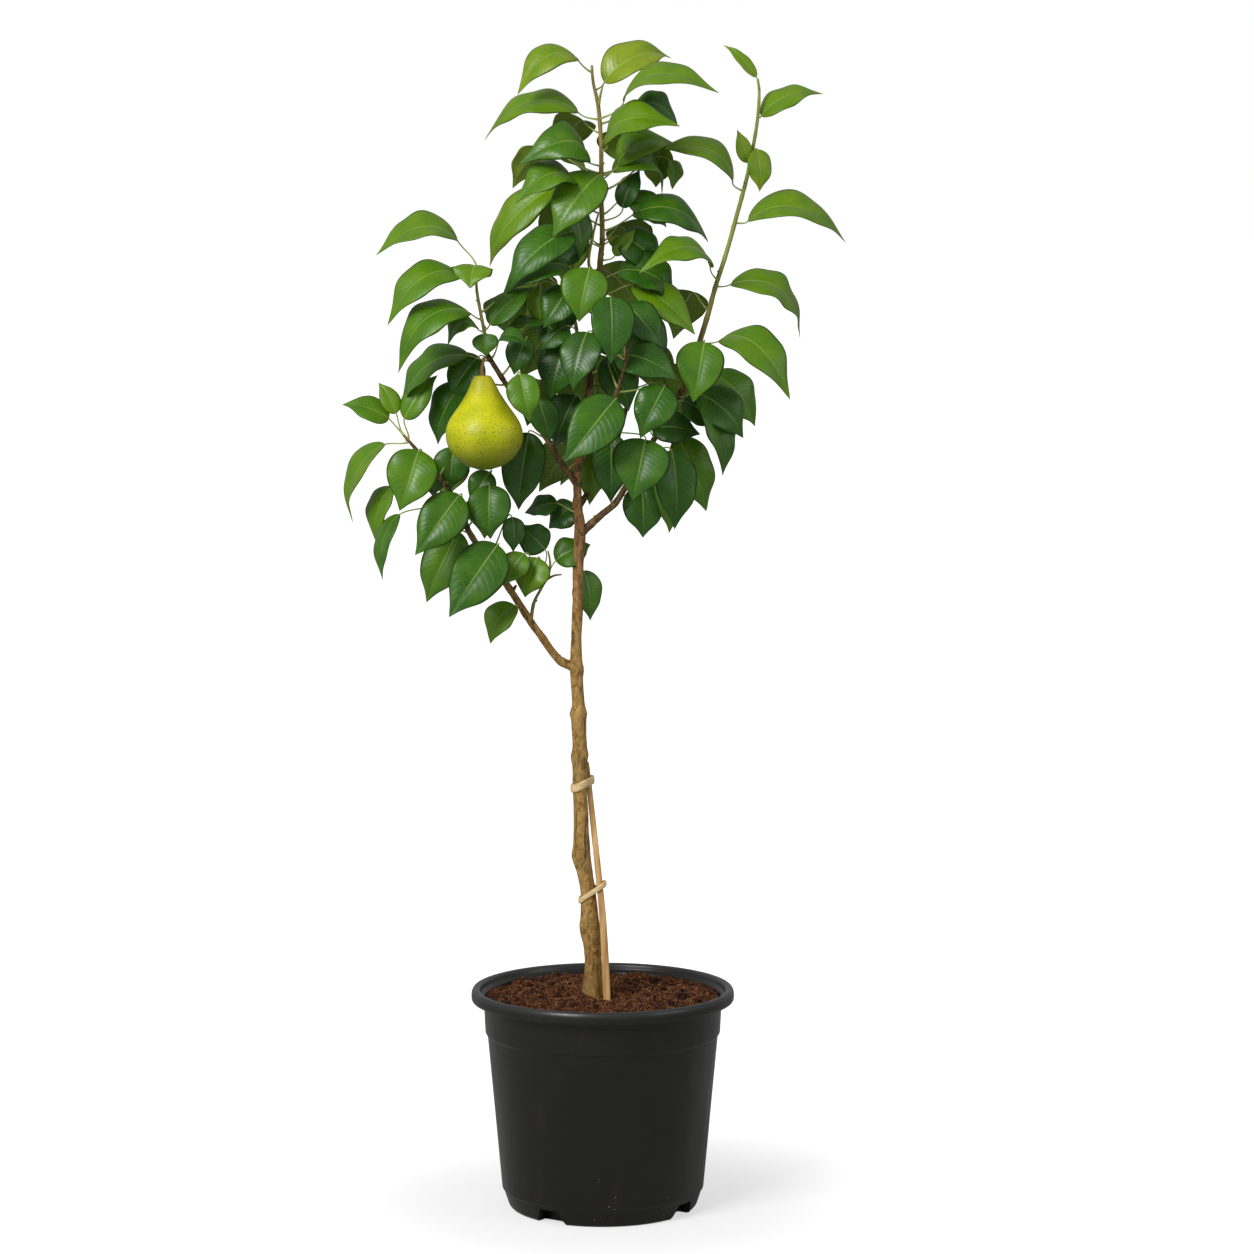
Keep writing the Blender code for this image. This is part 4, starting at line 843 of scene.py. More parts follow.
def notch_shell(angle):
    """The raised floor over one drain notch."""
    forward, across = notch_axes(angle)
    foot = NOTCH_FOOT_WIDTH / 2.0 + WALL
    top = NOTCH_TOP_WIDTH / 2.0 + WALL
    inner = NOTCH_INNER_RADIUS - WALL
    height = NOTCH_HEIGHT + WALL
    outline = ((-foot, 0.0008, 0), (foot, 0.0008, 0), (top, height, 1), (-top, height, 1))
    rings = []
    for reaches in ((inner, inner), (BASE_RADIUS - 0.0012, FOOT_RADIUS - 0.0035)):
        ring = []
        for offset, height, high in outline:
            reach = reaches[high]
            distance = math.sqrt(reach * reach - offset * offset) if reach > inner else reach
            ring.append(forward * distance + across * offset + Vector((0.0, 0.0, height)))
        rings.append(ring)
    return block_between(rings[0], rings[1])


def drain_hole(angle):
    centre = notch_axes(angle)[0] * DRAIN_HOLE_REACH
    return block_between(*(
        [centre + level_way(turn) * DRAIN_HOLE_RADIUS + Vector((0.0, 0.0, height)) for turn in turns(20)]
        for height in (0.008, 0.020)
    ))


def cut(obj, mesh_data, operation="DIFFERENCE"):
    """Cut or add one closed shape, then drop the helper."""
    helper = object_from_bmesh("helper", mesh_data)
    modifier = obj.modifiers.new("cut", "BOOLEAN")
    modifier.operation = operation
    modifier.solver = "EXACT"
    modifier.object = helper
    graph = bpy.context.evaluated_depsgraph_get()
    mesh = bpy.data.meshes.new_from_object(obj.evaluated_get(graph))
    obj.modifiers.clear()
    obj.data = mesh
    bpy.data.objects.remove(helper, do_unlink=True)


def cavity_profile(gap):
    """The container's inside from the axis up, or the mix's outside a gap away from it."""
    return (
        (0.0, WALL + 0.0002 + gap),
        (BASE_RADIUS - WALL - gap, WALL + 0.0002 + gap),
        (FOOT_RADIUS - WALL - gap, FOOT_Z),
        (BODY_TOP_RADIUS - WALL - gap, COLLAR_FOOT_Z - 0.002),
        (COLLAR_FOOT_RADIUS - WALL - gap, COLLAR_FOOT_Z + 0.003),
    )


def build_pot(material):
    top = POT_HEIGHT
    bead = POT_HEIGHT - RIM_BEAD_HEIGHT
    profile = (
        (0.0, 0.0),
        (BASE_RADIUS - 0.003, 0.0),
        (BASE_RADIUS, 0.003),
        (FOOT_RADIUS - 0.0014, FOOT_Z - 0.0012),
        (FOOT_RADIUS, FOOT_Z),
        (BODY_TOP_RADIUS, COLLAR_FOOT_Z - 0.001),
        (COLLAR_FOOT_RADIUS, COLLAR_FOOT_Z + 0.001),
        (COLLAR_TOP_RADIUS, top - 0.0098),
        (RIM_INNER_RADIUS - 0.0004, top - 0.0086),
        (RIM_INNER_RADIUS + 0.0014, top - 0.0032),
        (RIM_RADIUS - 0.0026, top - 0.0030),
        (RIM_RADIUS - 0.0020, bead + 0.0008),
        (RIM_RADIUS - 0.0011, bead),
        (RIM_RADIUS, bead + 0.0018),
        (RIM_RADIUS, top - 0.0045),
        (RIM_RADIUS - 0.0015, top - 0.001),
        (RIM_RADIUS - 0.004, top),
        (RIM_INNER_RADIUS, top - 0.0012),
        (RIM_INNER_RADIUS - 0.0012, top - 0.006),
        (COLLAR_TOP_RADIUS + 0.001, top - 0.0068),
        (COLLAR_TOP_RADIUS - WALL, top - 0.009),
    ) + tuple(reversed(cavity_profile(0.0)))
    pot = object_from_bmesh("pot_shell", revolve(rounded_profile(profile, 0.0016, 5), POT_SEGMENTS))
    for angle in NOTCH_ANGLES:
        cut(pot, notch_shell(angle), "UNION")
    for angle in NOTCH_ANGLES:
        cut(pot, notch_block(angle, 0.0))
        cut(pot, drain_hole(angle))
    smooth_below(pot, 38.0)
    finish_piece(pot, [material], ["pot"])


def soil_height(x, y):
    """The CAD's lumps with finer ones on top."""
    waves = ((45.0, 0.7), (110.0, 3.1), (260.0, 5.3), (620.0, 9.1), (85.0, 12.4))
    lump, fine, small, grain, fold = (noise.noise(Vector((x * f, y * f, z))) for f, z in waves)
    height = SOIL_TOP_Z + SOIL_LUMP * (1.1 * lump + 0.9 * fine)
    ridge = 0.0020 - 0.0055 * abs(fold)
    return height + ridge + 0.0020 * small + 0.0011 * grain


def build_soil(material):
    gap = 0.0006
    outer = COLLAR_TOP_RADIUS - WALL - 0.0010
    inside = cavity_profile(gap)
    rings = list(inside[1:]) + [(outer, POT_HEIGHT - SOIL_EDGE_DROP)]
    rings += [((outer - 0.0006) * i / SOIL_RINGS, None) for i in range(SOIL_RINGS, 0, -1)]
    verts = []
    for radius, height in rings:
        for angle in turns(SOIL_SEGMENTS):
            x, y = radius * math.cos(angle), radius * math.sin(angle)
            verts.append((x, y, soil_height(x, y) if height is None else height))
    ends = (0.0, 0.0, inside[0][1]), (0.0, 0.0, soil_height(0.0, 0.0))
    bed = new_object("soil_bed", *skinned(verts, SOIL_SEGMENTS, *ends))
    for angle in NOTCH_ANGLES:
        cut(bed, notch_block(angle, WALL + gap))
    smooth_below(bed, 60.0)
    finish_piece(bed, [material], ["soil"])


def lump_mesh(centre, size, rng):
    """One irregular crumb."""
    mesh_data = bmesh.new()
    bmesh.ops.create_icosphere(mesh_data, subdivisions=2, radius=1.0)
    squash = Vector((rng.uniform(0.7, 1.4), rng.uniform(0.7, 1.3), rng.uniform(0.5, 1.0)))
    turn = rng.uniform(0.0, 6.28)
    spin = Matrix.Rotation(turn, 3, Vector((rng.random(), rng.random(), 1.0)).normalized())
    offset = rng.uniform(0.0, 50.0)
    for vertex in mesh_data.verts:
        reach = 1.0 + 0.42 * noise.noise(vertex.co * 1.3 + Vector((offset, 0.0, 0.0)))
        vertex.co = centre + spin @ (vertex.co * squash * reach * size)
    verts = [vertex.co.copy() for vertex in mesh_data.verts]
    faces = [tuple(vertex.index for vertex in face.verts) for face in mesh_data.faces]
    mesh_data.free()
    return verts, faces


def soil_spot(rng, margin):
    reach = (COLLAR_TOP_RADIUS - WALL - margin) * math.sqrt(rng.random())
    angle = rng.uniform(0.0, 2.0 * math.pi)
    x, y = reach * math.cos(angle), reach * math.sin(angle)
    return Vector((x, y, soil_height(x, y)))


def build_crumbs(rng, dark, pale, fibre):
    parts = []
    for _ in range(CRUMBS):
        size = 0.0007 + 0.0040 * rng.random() ** 3.2
        spot = soil_spot(rng, 0.003 + size)
        parts.append(lump_mesh(spot + Vector((0.0, 0.0, size * 0.15)), size, rng))
    add_piece("soil_crumbs", joined(parts), dark)
    parts = []
    for _ in range(SPECKS):
        size = rng.uniform(0.0004, 0.0010)
        parts.append(lump_mesh(soil_spot(rng, 0.005) + Vector((0.0, 0.0, size * 0.6)), size, rng))
    add_piece("soil_specks", joined(parts), pale)
    parts = []
    for _ in range(FIBRES):
        spot = soil_spot(rng, 0.016)
        heading = rng.uniform(0.0, 6.28)
        length = rng.uniform(0.004, 0.020)
        bend = rng.uniform(-1.4, 1.4)
        radius = rng.uniform(0.00013, 0.00042)
        path = []
        for i in range(7):
            t = i / 6.0
            turn = heading + bend * (t - 0.5)
            x = spot.x + math.cos(turn) * length * (t - 0.5)
            y = spot.y + math.sin(turn) * length * (t - 0.5)
            rise = 0.0007 + 0.0016 * math.sin(math.pi * t) * rng.random()
            path.append((Vector((x, y, soil_height(x, y) + rise)), radius))
        parts.append(tube_mesh(path, 4))
    add_piece("soil_fibres", joined(parts), fibre)


# ---------------------------------------------------------------- wood, cane and ties


def bump_at(point, direction, place, way, size, length):
    """Rise of one knob on the bark, way being the direction it faces from the axis."""
    along = (point.z - place) / length
    if abs(along) > 2.5:
        return 0.0
    facing = max(direction.dot(way), 0.0)
    return size * math.exp(-along * along) * facing ** 3


def trunk_shape(point, angle, distance, radius, direction):
    reach = radius
    spot = point + direction * radius
    stretched = Vector((spot.x, spot.y, spot.z * 0.28))
    reach += radius * 0.075 * fine_noise(stretched, 120.0, 3, 2.0)
    reach += 0.00022 * fine_noise(spot, 900.0, 2, 7.0)
    # Ridges and furrows where the stem enters the potting mix
    foot = 1.0 - smoothstep(0.200, 0.245, point.z)
    reach += radius * 0.10 * foot * math.sin(angle * 5.0 + 1.3 + point.z * 30.0)
    for place, turn, size, length in KNOBS:
        reach += bump_at(point, direction, place, level_way(math.radians(turn)), size, length)
    return reach


def limb_shape(point, angle, distance, radius, direction):
    spot = point + direction * radius
    reach = radius * (1.0 + 0.07 * fine_noise(spot, 160.0, 3, 4.0))
    # Slight swelling at each node
    reach += radius * 0.10 * math.exp(-((math.fmod(distance, 0.031) - 0.015) / 0.003) ** 2)
    return reach + 0.00010 * fine_noise(spot, 1300.0, 2, 1.0)


def build_wood(bark, limb_bark, young):
    """Every stem as a piece of its own. Returns the CAD's paths by name."""
    mesh = tube_mesh(smooth_path(TRUNK, STEM_SPACING), TRUNK_SIDES, trunk_shape)
    add_piece("trunk_bark", mesh, bark, ["trunk"])
    paths = {"trunk": coarse_path(TRUNK)}
    for name, points in SHOOTS.items():
        paths[name] = coarse_path(points)
        fine = smooth_path(points, STEM_SPACING)
        if name == "right_shoot":
            fine = [(point, radius * RIGHT_SHOOT_SWELL) for point, radius in fine]
        if name not in CONTINUED_SHOOTS:
            flare = fine[0][1] * 0.45
            fine = [
                (point, radius + flare * math.exp(-distance / 0.009))
                for point, radius, _, _, _, distance in frames_along(fine)
            ]
        slot, material = ("young_wood", young) if name in YOUNG_SHOOTS else ("bark", limb_bark)
        add_piece(name + "_wood", tube_mesh(fine, LIMB_SIDES, limb_shape), material, [name])
    return paths


def build_stubs(bark, young):
    """Small side twigs, spurs and cut stubs."""
    parts = {"bark": [], "young": []}
    for kind, points in STUBS:
        parts[kind].append(tube_mesh(smooth_path(points, 0.0012), 14, limb_shape))
    add_piece("spurs", joined(parts["bark"]), bark)
    add_piece("twigs", joined(parts["young"]), young)


def bud_mesh(base, way, size):
    """A pointed, scaly bud."""
    side = way.orthogonal().normalized()
    other = way.cross(side)
    rows = ((0.0, 0.55), (0.18, 0.85), (0.4, 0.92), (0.62, 0.72), (0.82, 0.42), (0.95, 0.16))
    sides = 12
    verts = []
    for height, reach in rows:
        for angle in turns(sides):
            scale = 1.0 + 0.10 * math.cos(3.0 * angle + height * 6.0)
            out = (side * math.cos(angle) + other * math.sin(angle)) * reach * scale * size * 0.45
            verts.append(base + way * height * size + out)
    return skinned(verts, sides, base - way * 0.05 * size, base + way * size)


def build_buds(rng, material):
    """Buds set alternately along every stem above the lowest fork."""
    parts = []
    for name, points in [("trunk", TRUNK)] + list(SHOOTS.items()):
        fine = smooth_path(points, 0.002)
        turn = rng.uniform(0.0, 6.28)
        next_bud = 0.02
        for point, radius, along, side, other, distance in frames_along(fine):
            if distance < next_bud or (name == "trunk" and point.z < 0.60):
                continue
            next_bud = distance + rng.uniform(0.022, 0.036)
            turn += 2.4
            out = side * math.cos(turn) + other * math.sin(turn)
            way = (out * 0.7 + along * 0.75).normalized()
            size = rng.uniform(0.0015, 0.0026)
            parts.append(bud_mesh(point + out * radius * 0.9, way, size))
    add_piece("buds", joined(parts), material)


def cane_shape(point, angle, distance, radius, direction):
    """Rounded square with grooves along the grain."""
    half = radius * 0.707
    power = 5.0
    total = abs(math.cos(angle)) ** power + abs(math.sin(angle)) ** power
    reach = half / total ** (1.0 / power)
    grain = noise.noise(Vector((direction.x * 9.0, direction.y * 9.0, distance * 3.0)))
    return reach * (1.0 + 0.035 * grain)


def build_cane(material):
    mesh = tube_mesh(smooth_path(STAKE, 0.003), 48, cane_shape, round_end=False)
    smooth_below(add_piece("cane", mesh, material, ["stake"]), 50.0)


def at_height(path, height):
    for (low, low_radius), (high, high_radius) in zip(path, path[1:]):
        if low.z <= height <= high.z:
            t = (height - low.z) / (high.z - low.z)
            return low.lerp(high, t), low_radius + (high_radius - low_radius) * t
    return path[-1]


def build_tie(name, trunk_z, stake_z, band, material):
    """Two strands of soft band round the stem and the cane."""
    trunk_point, trunk_radius = at_height(coarse_path(TRUNK), trunk_z * CM)
    stake_point, stake_radius = at_height(coarse_path(STAKE), stake_z * CM)
    centres = ((trunk_point.xy, trunk_radius), (stake_point.xy, stake_radius))
    slope = (stake_point.z - trunk_point.z) / max(stake_point.x - trunk_point.x, 0.001)
    half_band = band * CM * 0.5
    half_thick = TIE_THICKNESS * 0.5
    verts, faces = [], []
    for angle in turns(TIE_STEPS):
        out = Vector((math.cos(angle), math.sin(angle)))
        reach = [centre.dot(out) + radius for centre, radius in centres]
        # Support of the two circles, blended a little where one hands over to the other
        blend = 1.0 / (1.0 + math.exp(-(reach[1] - reach[0]) / 0.0004))
        centre = centres[0][0].lerp(centres[1][0], blend)
        radius = centres[0][1] + (centres[1][1] - centres[0][1]) * blend
        middle = centre + out * (radius + 0.0004 + half_thick)
        sag = 0.0003 * math.sin(angle * 3.0 + trunk_z)
        z = trunk_point.z + slope * (middle.x - trunk_point.x) + sag
        for turn in turns(TIE_SIDES):
            up = math.copysign(abs(math.sin(turn)) ** 0.6, math.sin(turn)) * half_band
            swell = 1.0 - 0.25 * abs(math.sin(turn)) ** 8
            off = math.copysign(abs(math.cos(turn)) ** 0.6, math.cos(turn)) * half_thick * swell
            strand = 0.00022 * math.cos(up / half_band * 9.4)
            place = middle + out * (off + (strand if off > 0.0 else 0.0))
            verts.append((place.x, place.y, z + up))
    for start in range(0, len(verts), TIE_SIDES):
        after = (start + TIE_SIDES) % len(verts)
        for k in range(TIE_SIDES):
            n = (k + 1) % TIE_SIDES
            faces.append((start + k, after + k, after + n, start + n))
    add_piece(name + "_band", (verts, faces), material, [name])


# ---------------------------------------------------------------- fruit


def pear_radius(height):
    """Radius of the fruit at a height above its lowest point, in centimetres."""
    rows = PEAR_OUTLINE
    for i in range(len(rows) - 1):
        if rows[i][0] <= height <= rows[i + 1][0]:
            before, after = rows[max(i - 1, 0)], rows[min(i + 2, len(rows) - 1)]
            t = (height - rows[i][0]) / (rows[i + 1][0] - rows[i][0])
            return catmull(before[1], rows[i][1], rows[i + 1][1], after[1], t)
    return 0.0


def pear_point(radius, height, angle):
    """A place on the fruit, with its slight lean and unevenness."""
    out = level_way(angle)
    uneven = 0.012 * math.sin(2.0 * angle + 0.7) + 0.008 * math.sin(3.0 * angle + height)
    lump = 0.010 * noise.noise(Vector((out.x * 1.4, out.y * 1.4, height * 0.5)))
    reach = radius * (1.0 - 0.012 + uneven + lump)
    lean = -0.035 * max(height - 4.5, 0.0)
    return Vector((
        (PEAR_AXIS[0] + out.x * reach + lean) * CM,
        (PEAR_AXIS[1] + out.y * reach) * CM,
        (PEAR_BOTTOM_Z + height) * CM,
    ))


def build_pear(skin, calyx, wood):
    tall = PEAR_CROWN[0][0]
    steps = [0.5 * (1.0 - math.cos(math.pi * (i + 0.5) / PEAR_RINGS)) for i in range(PEAR_RINGS)]
    heights = [PEAR_OUTLINE[0][0] + tall * step for step in steps]
    rows = list(PEAR_PIT)
    rows += [(h, pear_radius(h)) for h in heights if h > 0.14 and pear_radius(h) > 0.8]
    rows += PEAR_CROWN
    verts = [pear_point(radius, height, angle) for height, radius in rows for angle in turns(PEAR_SIDES)]
    ends = pear_point(0.0, PEAR_PIT_DEPTH, 0.0), pear_point(0.0, PEAR_CROWN_DIP, 0.0)
    add_piece("pear_fruit", skinned(verts, PEAR_SIDES, *ends), skin, ["pear"])
    centre = Vector((PEAR_AXIS[0], PEAR_AXIS[1], PEAR_BOTTOM_Z)) * CM
    lobes = []
    for angle in turns(5):
        out = level_way(angle + 0.4)
        path = []
        for reach, height, radius in CALYX_LOBE:
            path.append((centre + (out * reach + Vector((0.0, 0.0, height))) * CM, radius * CM))
        lobes.append(tube_mesh(path, 8))
    add_piece("pear_calyx", joined(lobes), calyx)
    stem = tube_mesh(smooth_path(PEAR_STALK, 0.0008), 20, limb_shape)
    add_piece("pear_stem", stem, wood, ["pear_stalk"])


# ---------------------------------------------------------------- materials


class Look:
    """A node material with one Principled shader, and short ways to add what drives it."""

    def __init__(self, name, roughness, specular=0.5):
        self.material = bpy.data.materials.new(name)
        self.material.use_nodes = True
        self.tree = self.material.node_tree
        self.tree.nodes.clear()
        output = self.tree.nodes.new("ShaderNodeOutputMaterial")
        self.shader = self.tree.nodes.new("ShaderNodeBsdfPrincipled")
        self.tree.links.new(self.shader.outputs["BSDF"], output.inputs["Surface"])
        self.shader.inputs["Roughness"].default_value = roughness
        self.shader.inputs["Specular IOR Level"].default_value = specular
        self.coordinates = None

    def node(self, kind):
        return self.tree.nodes.new("ShaderNode" + kind)

    def link(self, source, target):
        self.tree.links.new(source, target)

    def position(self, stretch=(1.0, 1.0, 1.0)):
        """Object coordinates, scaled along each axis."""
        if self.coordinates is None:
            self.coordinates = self.node("TexCoord").outputs["Object"]
        mapping = self.node("Mapping")
        mapping.inputs["Scale"].default_value = stretch
        self.link(self.coordinates, mapping.inputs["Vector"])
        return mapping.outputs["Vector"]

    def noise(self, scale, detail=4.0, stretch=(1.0, 1.0, 1.0), distortion=0.0):
        texture = self.node("TexNoise")
        texture.inputs["Scale"].default_value = scale
        texture.inputs["Detail"].default_value = detail
        texture.inputs["Distortion"].default_value = distortion
        self.link(self.position(stretch), texture.inputs["Vector"])
        return texture.outputs["Fac"]

    def cells(self, scale, stretch=(1.0, 1.0, 1.0)):
        texture = self.node("TexVoronoi")
        texture.inputs["Scale"].default_value = scale
        self.link(self.position(stretch), texture.inputs["Vector"])
        return texture.outputs["Distance"]

    def ramp(self, source, stops):
        """Colour ramp from (place, colour) stops, colours as 0 to 255 screen values."""
        ramp = self.node("ValToRGB")
        elements = ramp.color_ramp.elements
        while len(elements) < len(stops):
            elements.new(0.5)
        for element, (place, colour) in zip(elements, stops):
            element.position = place
            element.color = screen_colour(colour)
        self.link(source, ramp.inputs["Fac"])
        return ramp.outputs["Color"]

    def range(self, source, low, high, to_low=0.0, to_high=1.0):
        """Smooth step from low to high."""
        step = self.node("MapRange")
        step.interpolation_type = "SMOOTHSTEP"
        step.inputs["From Min"].default_value = low
        step.inputs["From Max"].default_value = high
        step.inputs["To Min"].default_value = to_low
        step.inputs["To Max"].default_value = to_high
        self.link(source, step.inputs["Value"])
        return step.outputs["Result"]

    def math(self, operation, first, second=None):
        node = self.node("Math")
        node.operation = operation
        for socket, value in zip(node.inputs, (first, second)):
            if value is None:
                continue
            if isinstance(value, (int, float)):
                socket.default_value = value
            else:
                self.link(value, socket)
        return node.outputs["Value"]

    def mix(self, factor, first, second):
        """Mix two colours; each is a socket or a screen colour."""
        node = self.node("Mix")
        node.data_type = "RGBA"
        self.link(factor, node.inputs[0])
        for socket, value in ((node.inputs[6], first), (node.inputs[7], second)):
            if isinstance(value, tuple):
                socket.default_value = screen_colour(value)
            else:
                self.link(value, socket)
        return node.outputs[2]

    def height(self):
        """Height above the floor, in metres."""
        split = self.node("SeparateXYZ")
        self.link(self.position(), split.inputs["Vector"])
        return split.outputs["Z"]

    def colour(self, source):
        self.link(source, self.shader.inputs["Base Color"])

    def roughness(self, source):
        self.link(source, self.shader.inputs["Roughness"])

    def bump(self, source, distance, strength=1.0):
        bump = self.node("Bump")
        bump.inputs["Distance"].default_value = distance
        bump.inputs["Strength"].default_value = strength
        self.link(source, bump.inputs["Height"])
        self.link(bump.outputs["Normal"], self.shader.inputs["Normal"])


def screen_colour(colour):
    """Linear colour from 0 to 255 screen values."""
    linear = []
    for value in colour[:3]:
        v = value / 255.0
        linear.append(v / 12.92 if v <= 0.04045 else ((v + 0.055) / 1.055) ** 2.4)
    return (linear[0], linear[1], linear[2], 1.0)


def pot_material():
    look = Look("black_plastic", 0.40, 0.30)
    look.shader.inputs["Coat Weight"].default_value = 0.22
    look.shader.inputs["Coat Roughness"].default_value = 0.16
    cloud = look.noise(9.0, 5.0)
    base = look.ramp(cloud, ((0.3, (18, 18, 15)), (0.7, (26, 25, 21))))
    dust = look.range(look.noise(38.0, 8.0, (1.0, 1.0, 0.5)), 0.56, 0.82, 0.0, 0.22)
    base = look.mix(dust, base, (62, 58, 50))
    specks = look.range(look.cells(230.0), 0.08, 0.13, 1.0, 0.0)
    sparse = look.range(look.noise(34.0, 2.0), 0.57, 0.63)
    low = look.range(look.height(), 0.025, 0.075, 1.0, 0.0)
    marks = look.math("MULTIPLY", look.math("MULTIPLY", specks, sparse), low)
    base = look.mix(marks, base, (168, 160, 142))
    # Painted highlight: the rim top is mixed towards a pale bluish grey that stands in for the light caught along
    # it.
    rim_painted_highlight = look.range(look.height(), POT_HEIGHT - 0.0080, POT_HEIGHT - 0.0020, 0.0, 0.26)
    base = look.mix(rim_painted_highlight, base, (78, 80, 84))
    look.colour(base)
    scuff = look.noise(60.0, 6.0, (1.0, 1.0, 0.15))
    look.roughness(look.ramp(scuff, ((0.25, (148, 148, 148)), (0.75, (182, 182, 182)))))
    look.bump(look.noise(700.0, 3.0), 0.00012, 0.5)
    return look.material


def soil_material(name, colours):
    look = Look(name, 0.95, 0.2)
    fine = look.noise(420.0, 8.0)
    base = look.ramp(fine, ((0.28, colours[0]), (0.48, colours[1]), (0.62, colours[2]), (0.80, colours[3])))
    wide = look.noise(58.0, 4.0)
    base = look.mix(look.range(wide, 0.44, 0.62, 0.0, 0.72), base, colours[0])
    # Painted shade: the cell edges are darkened to near black brown, as shade in the crevices between lumps.
    crevice_painted_shade = look.range(look.cells(150.0), 0.50, 0.85, 0.0, 0.60)
    base = look.mix(crevice_painted_shade, base, (24, 14, 8))
    look.colour(base)
    look.bump(look.noise(260.0, 8.0), 0.0022, 0.9)
    return look.material


def bark_material(name, limbs):
    """Tan-grey bark at the foot, redder above, dark on the limbs and green near the top."""
    look = Look(name, 0.78, 0.3)
    streak = look.noise(250.0, 7.0, (1.0, 1.0, 0.62), 0.8)
    old = look.ramp(streak, ((0.26, (98, 68, 26)), (0.48, (158, 121, 62)), (0.72, (204, 166, 98))))
    middle = look.ramp(streak, ((0.26, (88, 57, 28)), (0.48, (132, 94, 52)), (0.72, (170, 130, 80))))
    upper = look.ramp(streak, ((0.26, (48, 36, 18)), (0.48, (82, 62, 34)), (0.72, (122, 98, 58))))
    height = look.height()
    if limbs:
        base = look.mix(look.range(height, 0.57, 0.68), old, upper)
    else:
        base = look.mix(look.range(height, 0.56, 0.66), old, middle)
        base = look.mix(look.range(height, 0.74, 0.86), base, upper)
    base = look.mix(look.range(height, 0.88, 1.01), base, (134, 126, 56))
    moss = look.range(look.noise(34.0, 4.0, (1.0, 1.0, 0.5)), 0.52, 0.74, 0.0, 0.30)
    base = look.mix(moss, base, (110, 100, 58))
    patch = look.range(look.noise(62.0, 5.0, (1.0, 1.0, 0.6), 0.8), 0.50, 0.62, 0.0, 0.40)
    base = look.mix(patch, base, (190, 154, 94))
    damp = look.range(height, 0.212, 0.262, 0.45, 0.0)
    base = look.mix(damp, base, (92, 64, 30))
    pores = look.range(look.cells(330.0, (1.0, 1.0, 2.2)), 0.10, 0.24, 0.75, 0.0)
    base = look.mix(pores, base, (190, 166, 118))
    cracks = look.range(look.noise(260.0, 5.0, (1.0, 1.0, 0.10)), 0.30, 0.42, 0.8, 0.0)
    base = look.mix(cracks, base, (52, 40, 26))
    look.colour(base)
    look.bump(look.noise(420.0, 8.0, (1.0, 1.0, 0.22), 0.5), 0.0010, 0.9)
    return look.material


def young_material():
    look = Look("young_bark", 0.5, 0.4)
    streak = look.noise(220.0, 4.0, (1.0, 1.0, 0.2))
    lower = look.ramp(streak, ((0.3, (118, 106, 48)), (0.7, (150, 138, 70))))
    upper = look.ramp(streak, ((0.3, (134, 142, 52)), (0.7, (168, 174, 78))))
    base = look.mix(look.range(look.height(), 0.84, 1.0), lower, upper)
    pores = look.range(look.cells(420.0, (1.0, 1.0, 1.6)), 0.10, 0.20, 0.6, 0.0)
    base = look.mix(pores, base, (190, 180, 140))
    look.colour(base)
    look.bump(look.noise(500.0, 4.0, (1.0, 1.0, 0.3)), 0.0005, 0.6)
    return look.material


def bud_material():
    look = Look("bud_scales", 0.6, 0.35)
    fleck = look.noise(600.0, 4.0)
    look.colour(look.ramp(fleck, ((0.35, (98, 76, 40)), (0.55, (134, 110, 62)), (0.75, (166, 144, 90)))))
    look.bump(look.noise(900.0, 3.0), 0.0004, 0.6)
    return look.material


def cane_material():
    look = Look("cane_wood", 0.62, 0.3)
    grain = look.noise(240.0, 6.0, (1.0, 1.0, 0.035), 0.3)
    base = look.ramp(grain, ((0.28, (168, 120, 66)), (0.50, (208, 164, 102)), (0.72, (230, 194, 136))))
    wide = look.noise(24.0, 3.0, (1.0, 1.0, 0.3))
    base = look.mix(look.range(wide, 0.52, 0.76, 0.0, 0.35), base, (172, 130, 80))
    look.colour(base)
    look.bump(grain, 0.0006, 0.8)
    return look.material


def tie_material():
    look = Look("raffia", 0.7, 0.3)
    strand = look.noise(900.0, 4.0, (0.10, 0.10, 1.0))
    look.colour(look.ramp(strand, ((0.30, (196, 162, 104)), (0.52, (232, 204, 150)), (0.75, (246, 226, 182)))))
    look.bump(strand, 0.0004, 0.8)
    return look.material


def pear_material():
    look = Look("pear_skin", 0.40, 0.36)
    look.shader.inputs["Subsurface Weight"].default_value = 0.06
    look.shader.inputs["Subsurface Radius"].default_value = (0.010, 0.008, 0.003)
    cloud = look.noise(34.0, 4.0)
    base = look.ramp(cloud, ((0.30, (176, 184, 8)), (0.52, (208, 207, 16)), (0.74, (230, 224, 44))))
    # Painted shade: the bottom of the fruit is mixed towards a deep green, standing in for the shade on its
    # underside.
    low = look.range(look.height(), 0.734, 0.786, 0.9, 0.0)
    base = look.mix(low, base, (92, 112, 8))
    neck = look.range(look.height(), 0.800, 0.828, 0.0, 0.5)
    base = look.mix(neck, base, (196, 188, 58))
    dots = look.range(look.cells(400.0), 0.20, 0.34, 1.0, 0.0)
    share = look.range(look.height(), 0.750, 0.812, 0.95, 0.28)
    base = look.mix(look.math("MULTIPLY", dots, share), base, (96, 116, 12))
    freckle = look.range(look.cells(900.0), 0.10, 0.24, 0.55, 0.0)
    base = look.mix(freckle, base, (126, 142, 14))
    look.colour(base)
    look.bump(look.noise(380.0, 3.0), 0.0002, 0.5)
    return look.material


def plain_noise_material(name, colours, roughness, scale):
    look = Look(name, roughness, 0.3)
    look.colour(look.ramp(look.noise(scale, 4.0), ((0.3, colours[0]), (0.7, colours[1]))))
    look.bump(look.noise(scale * 2.0, 3.0), 0.0003, 0.5)
    return look.material


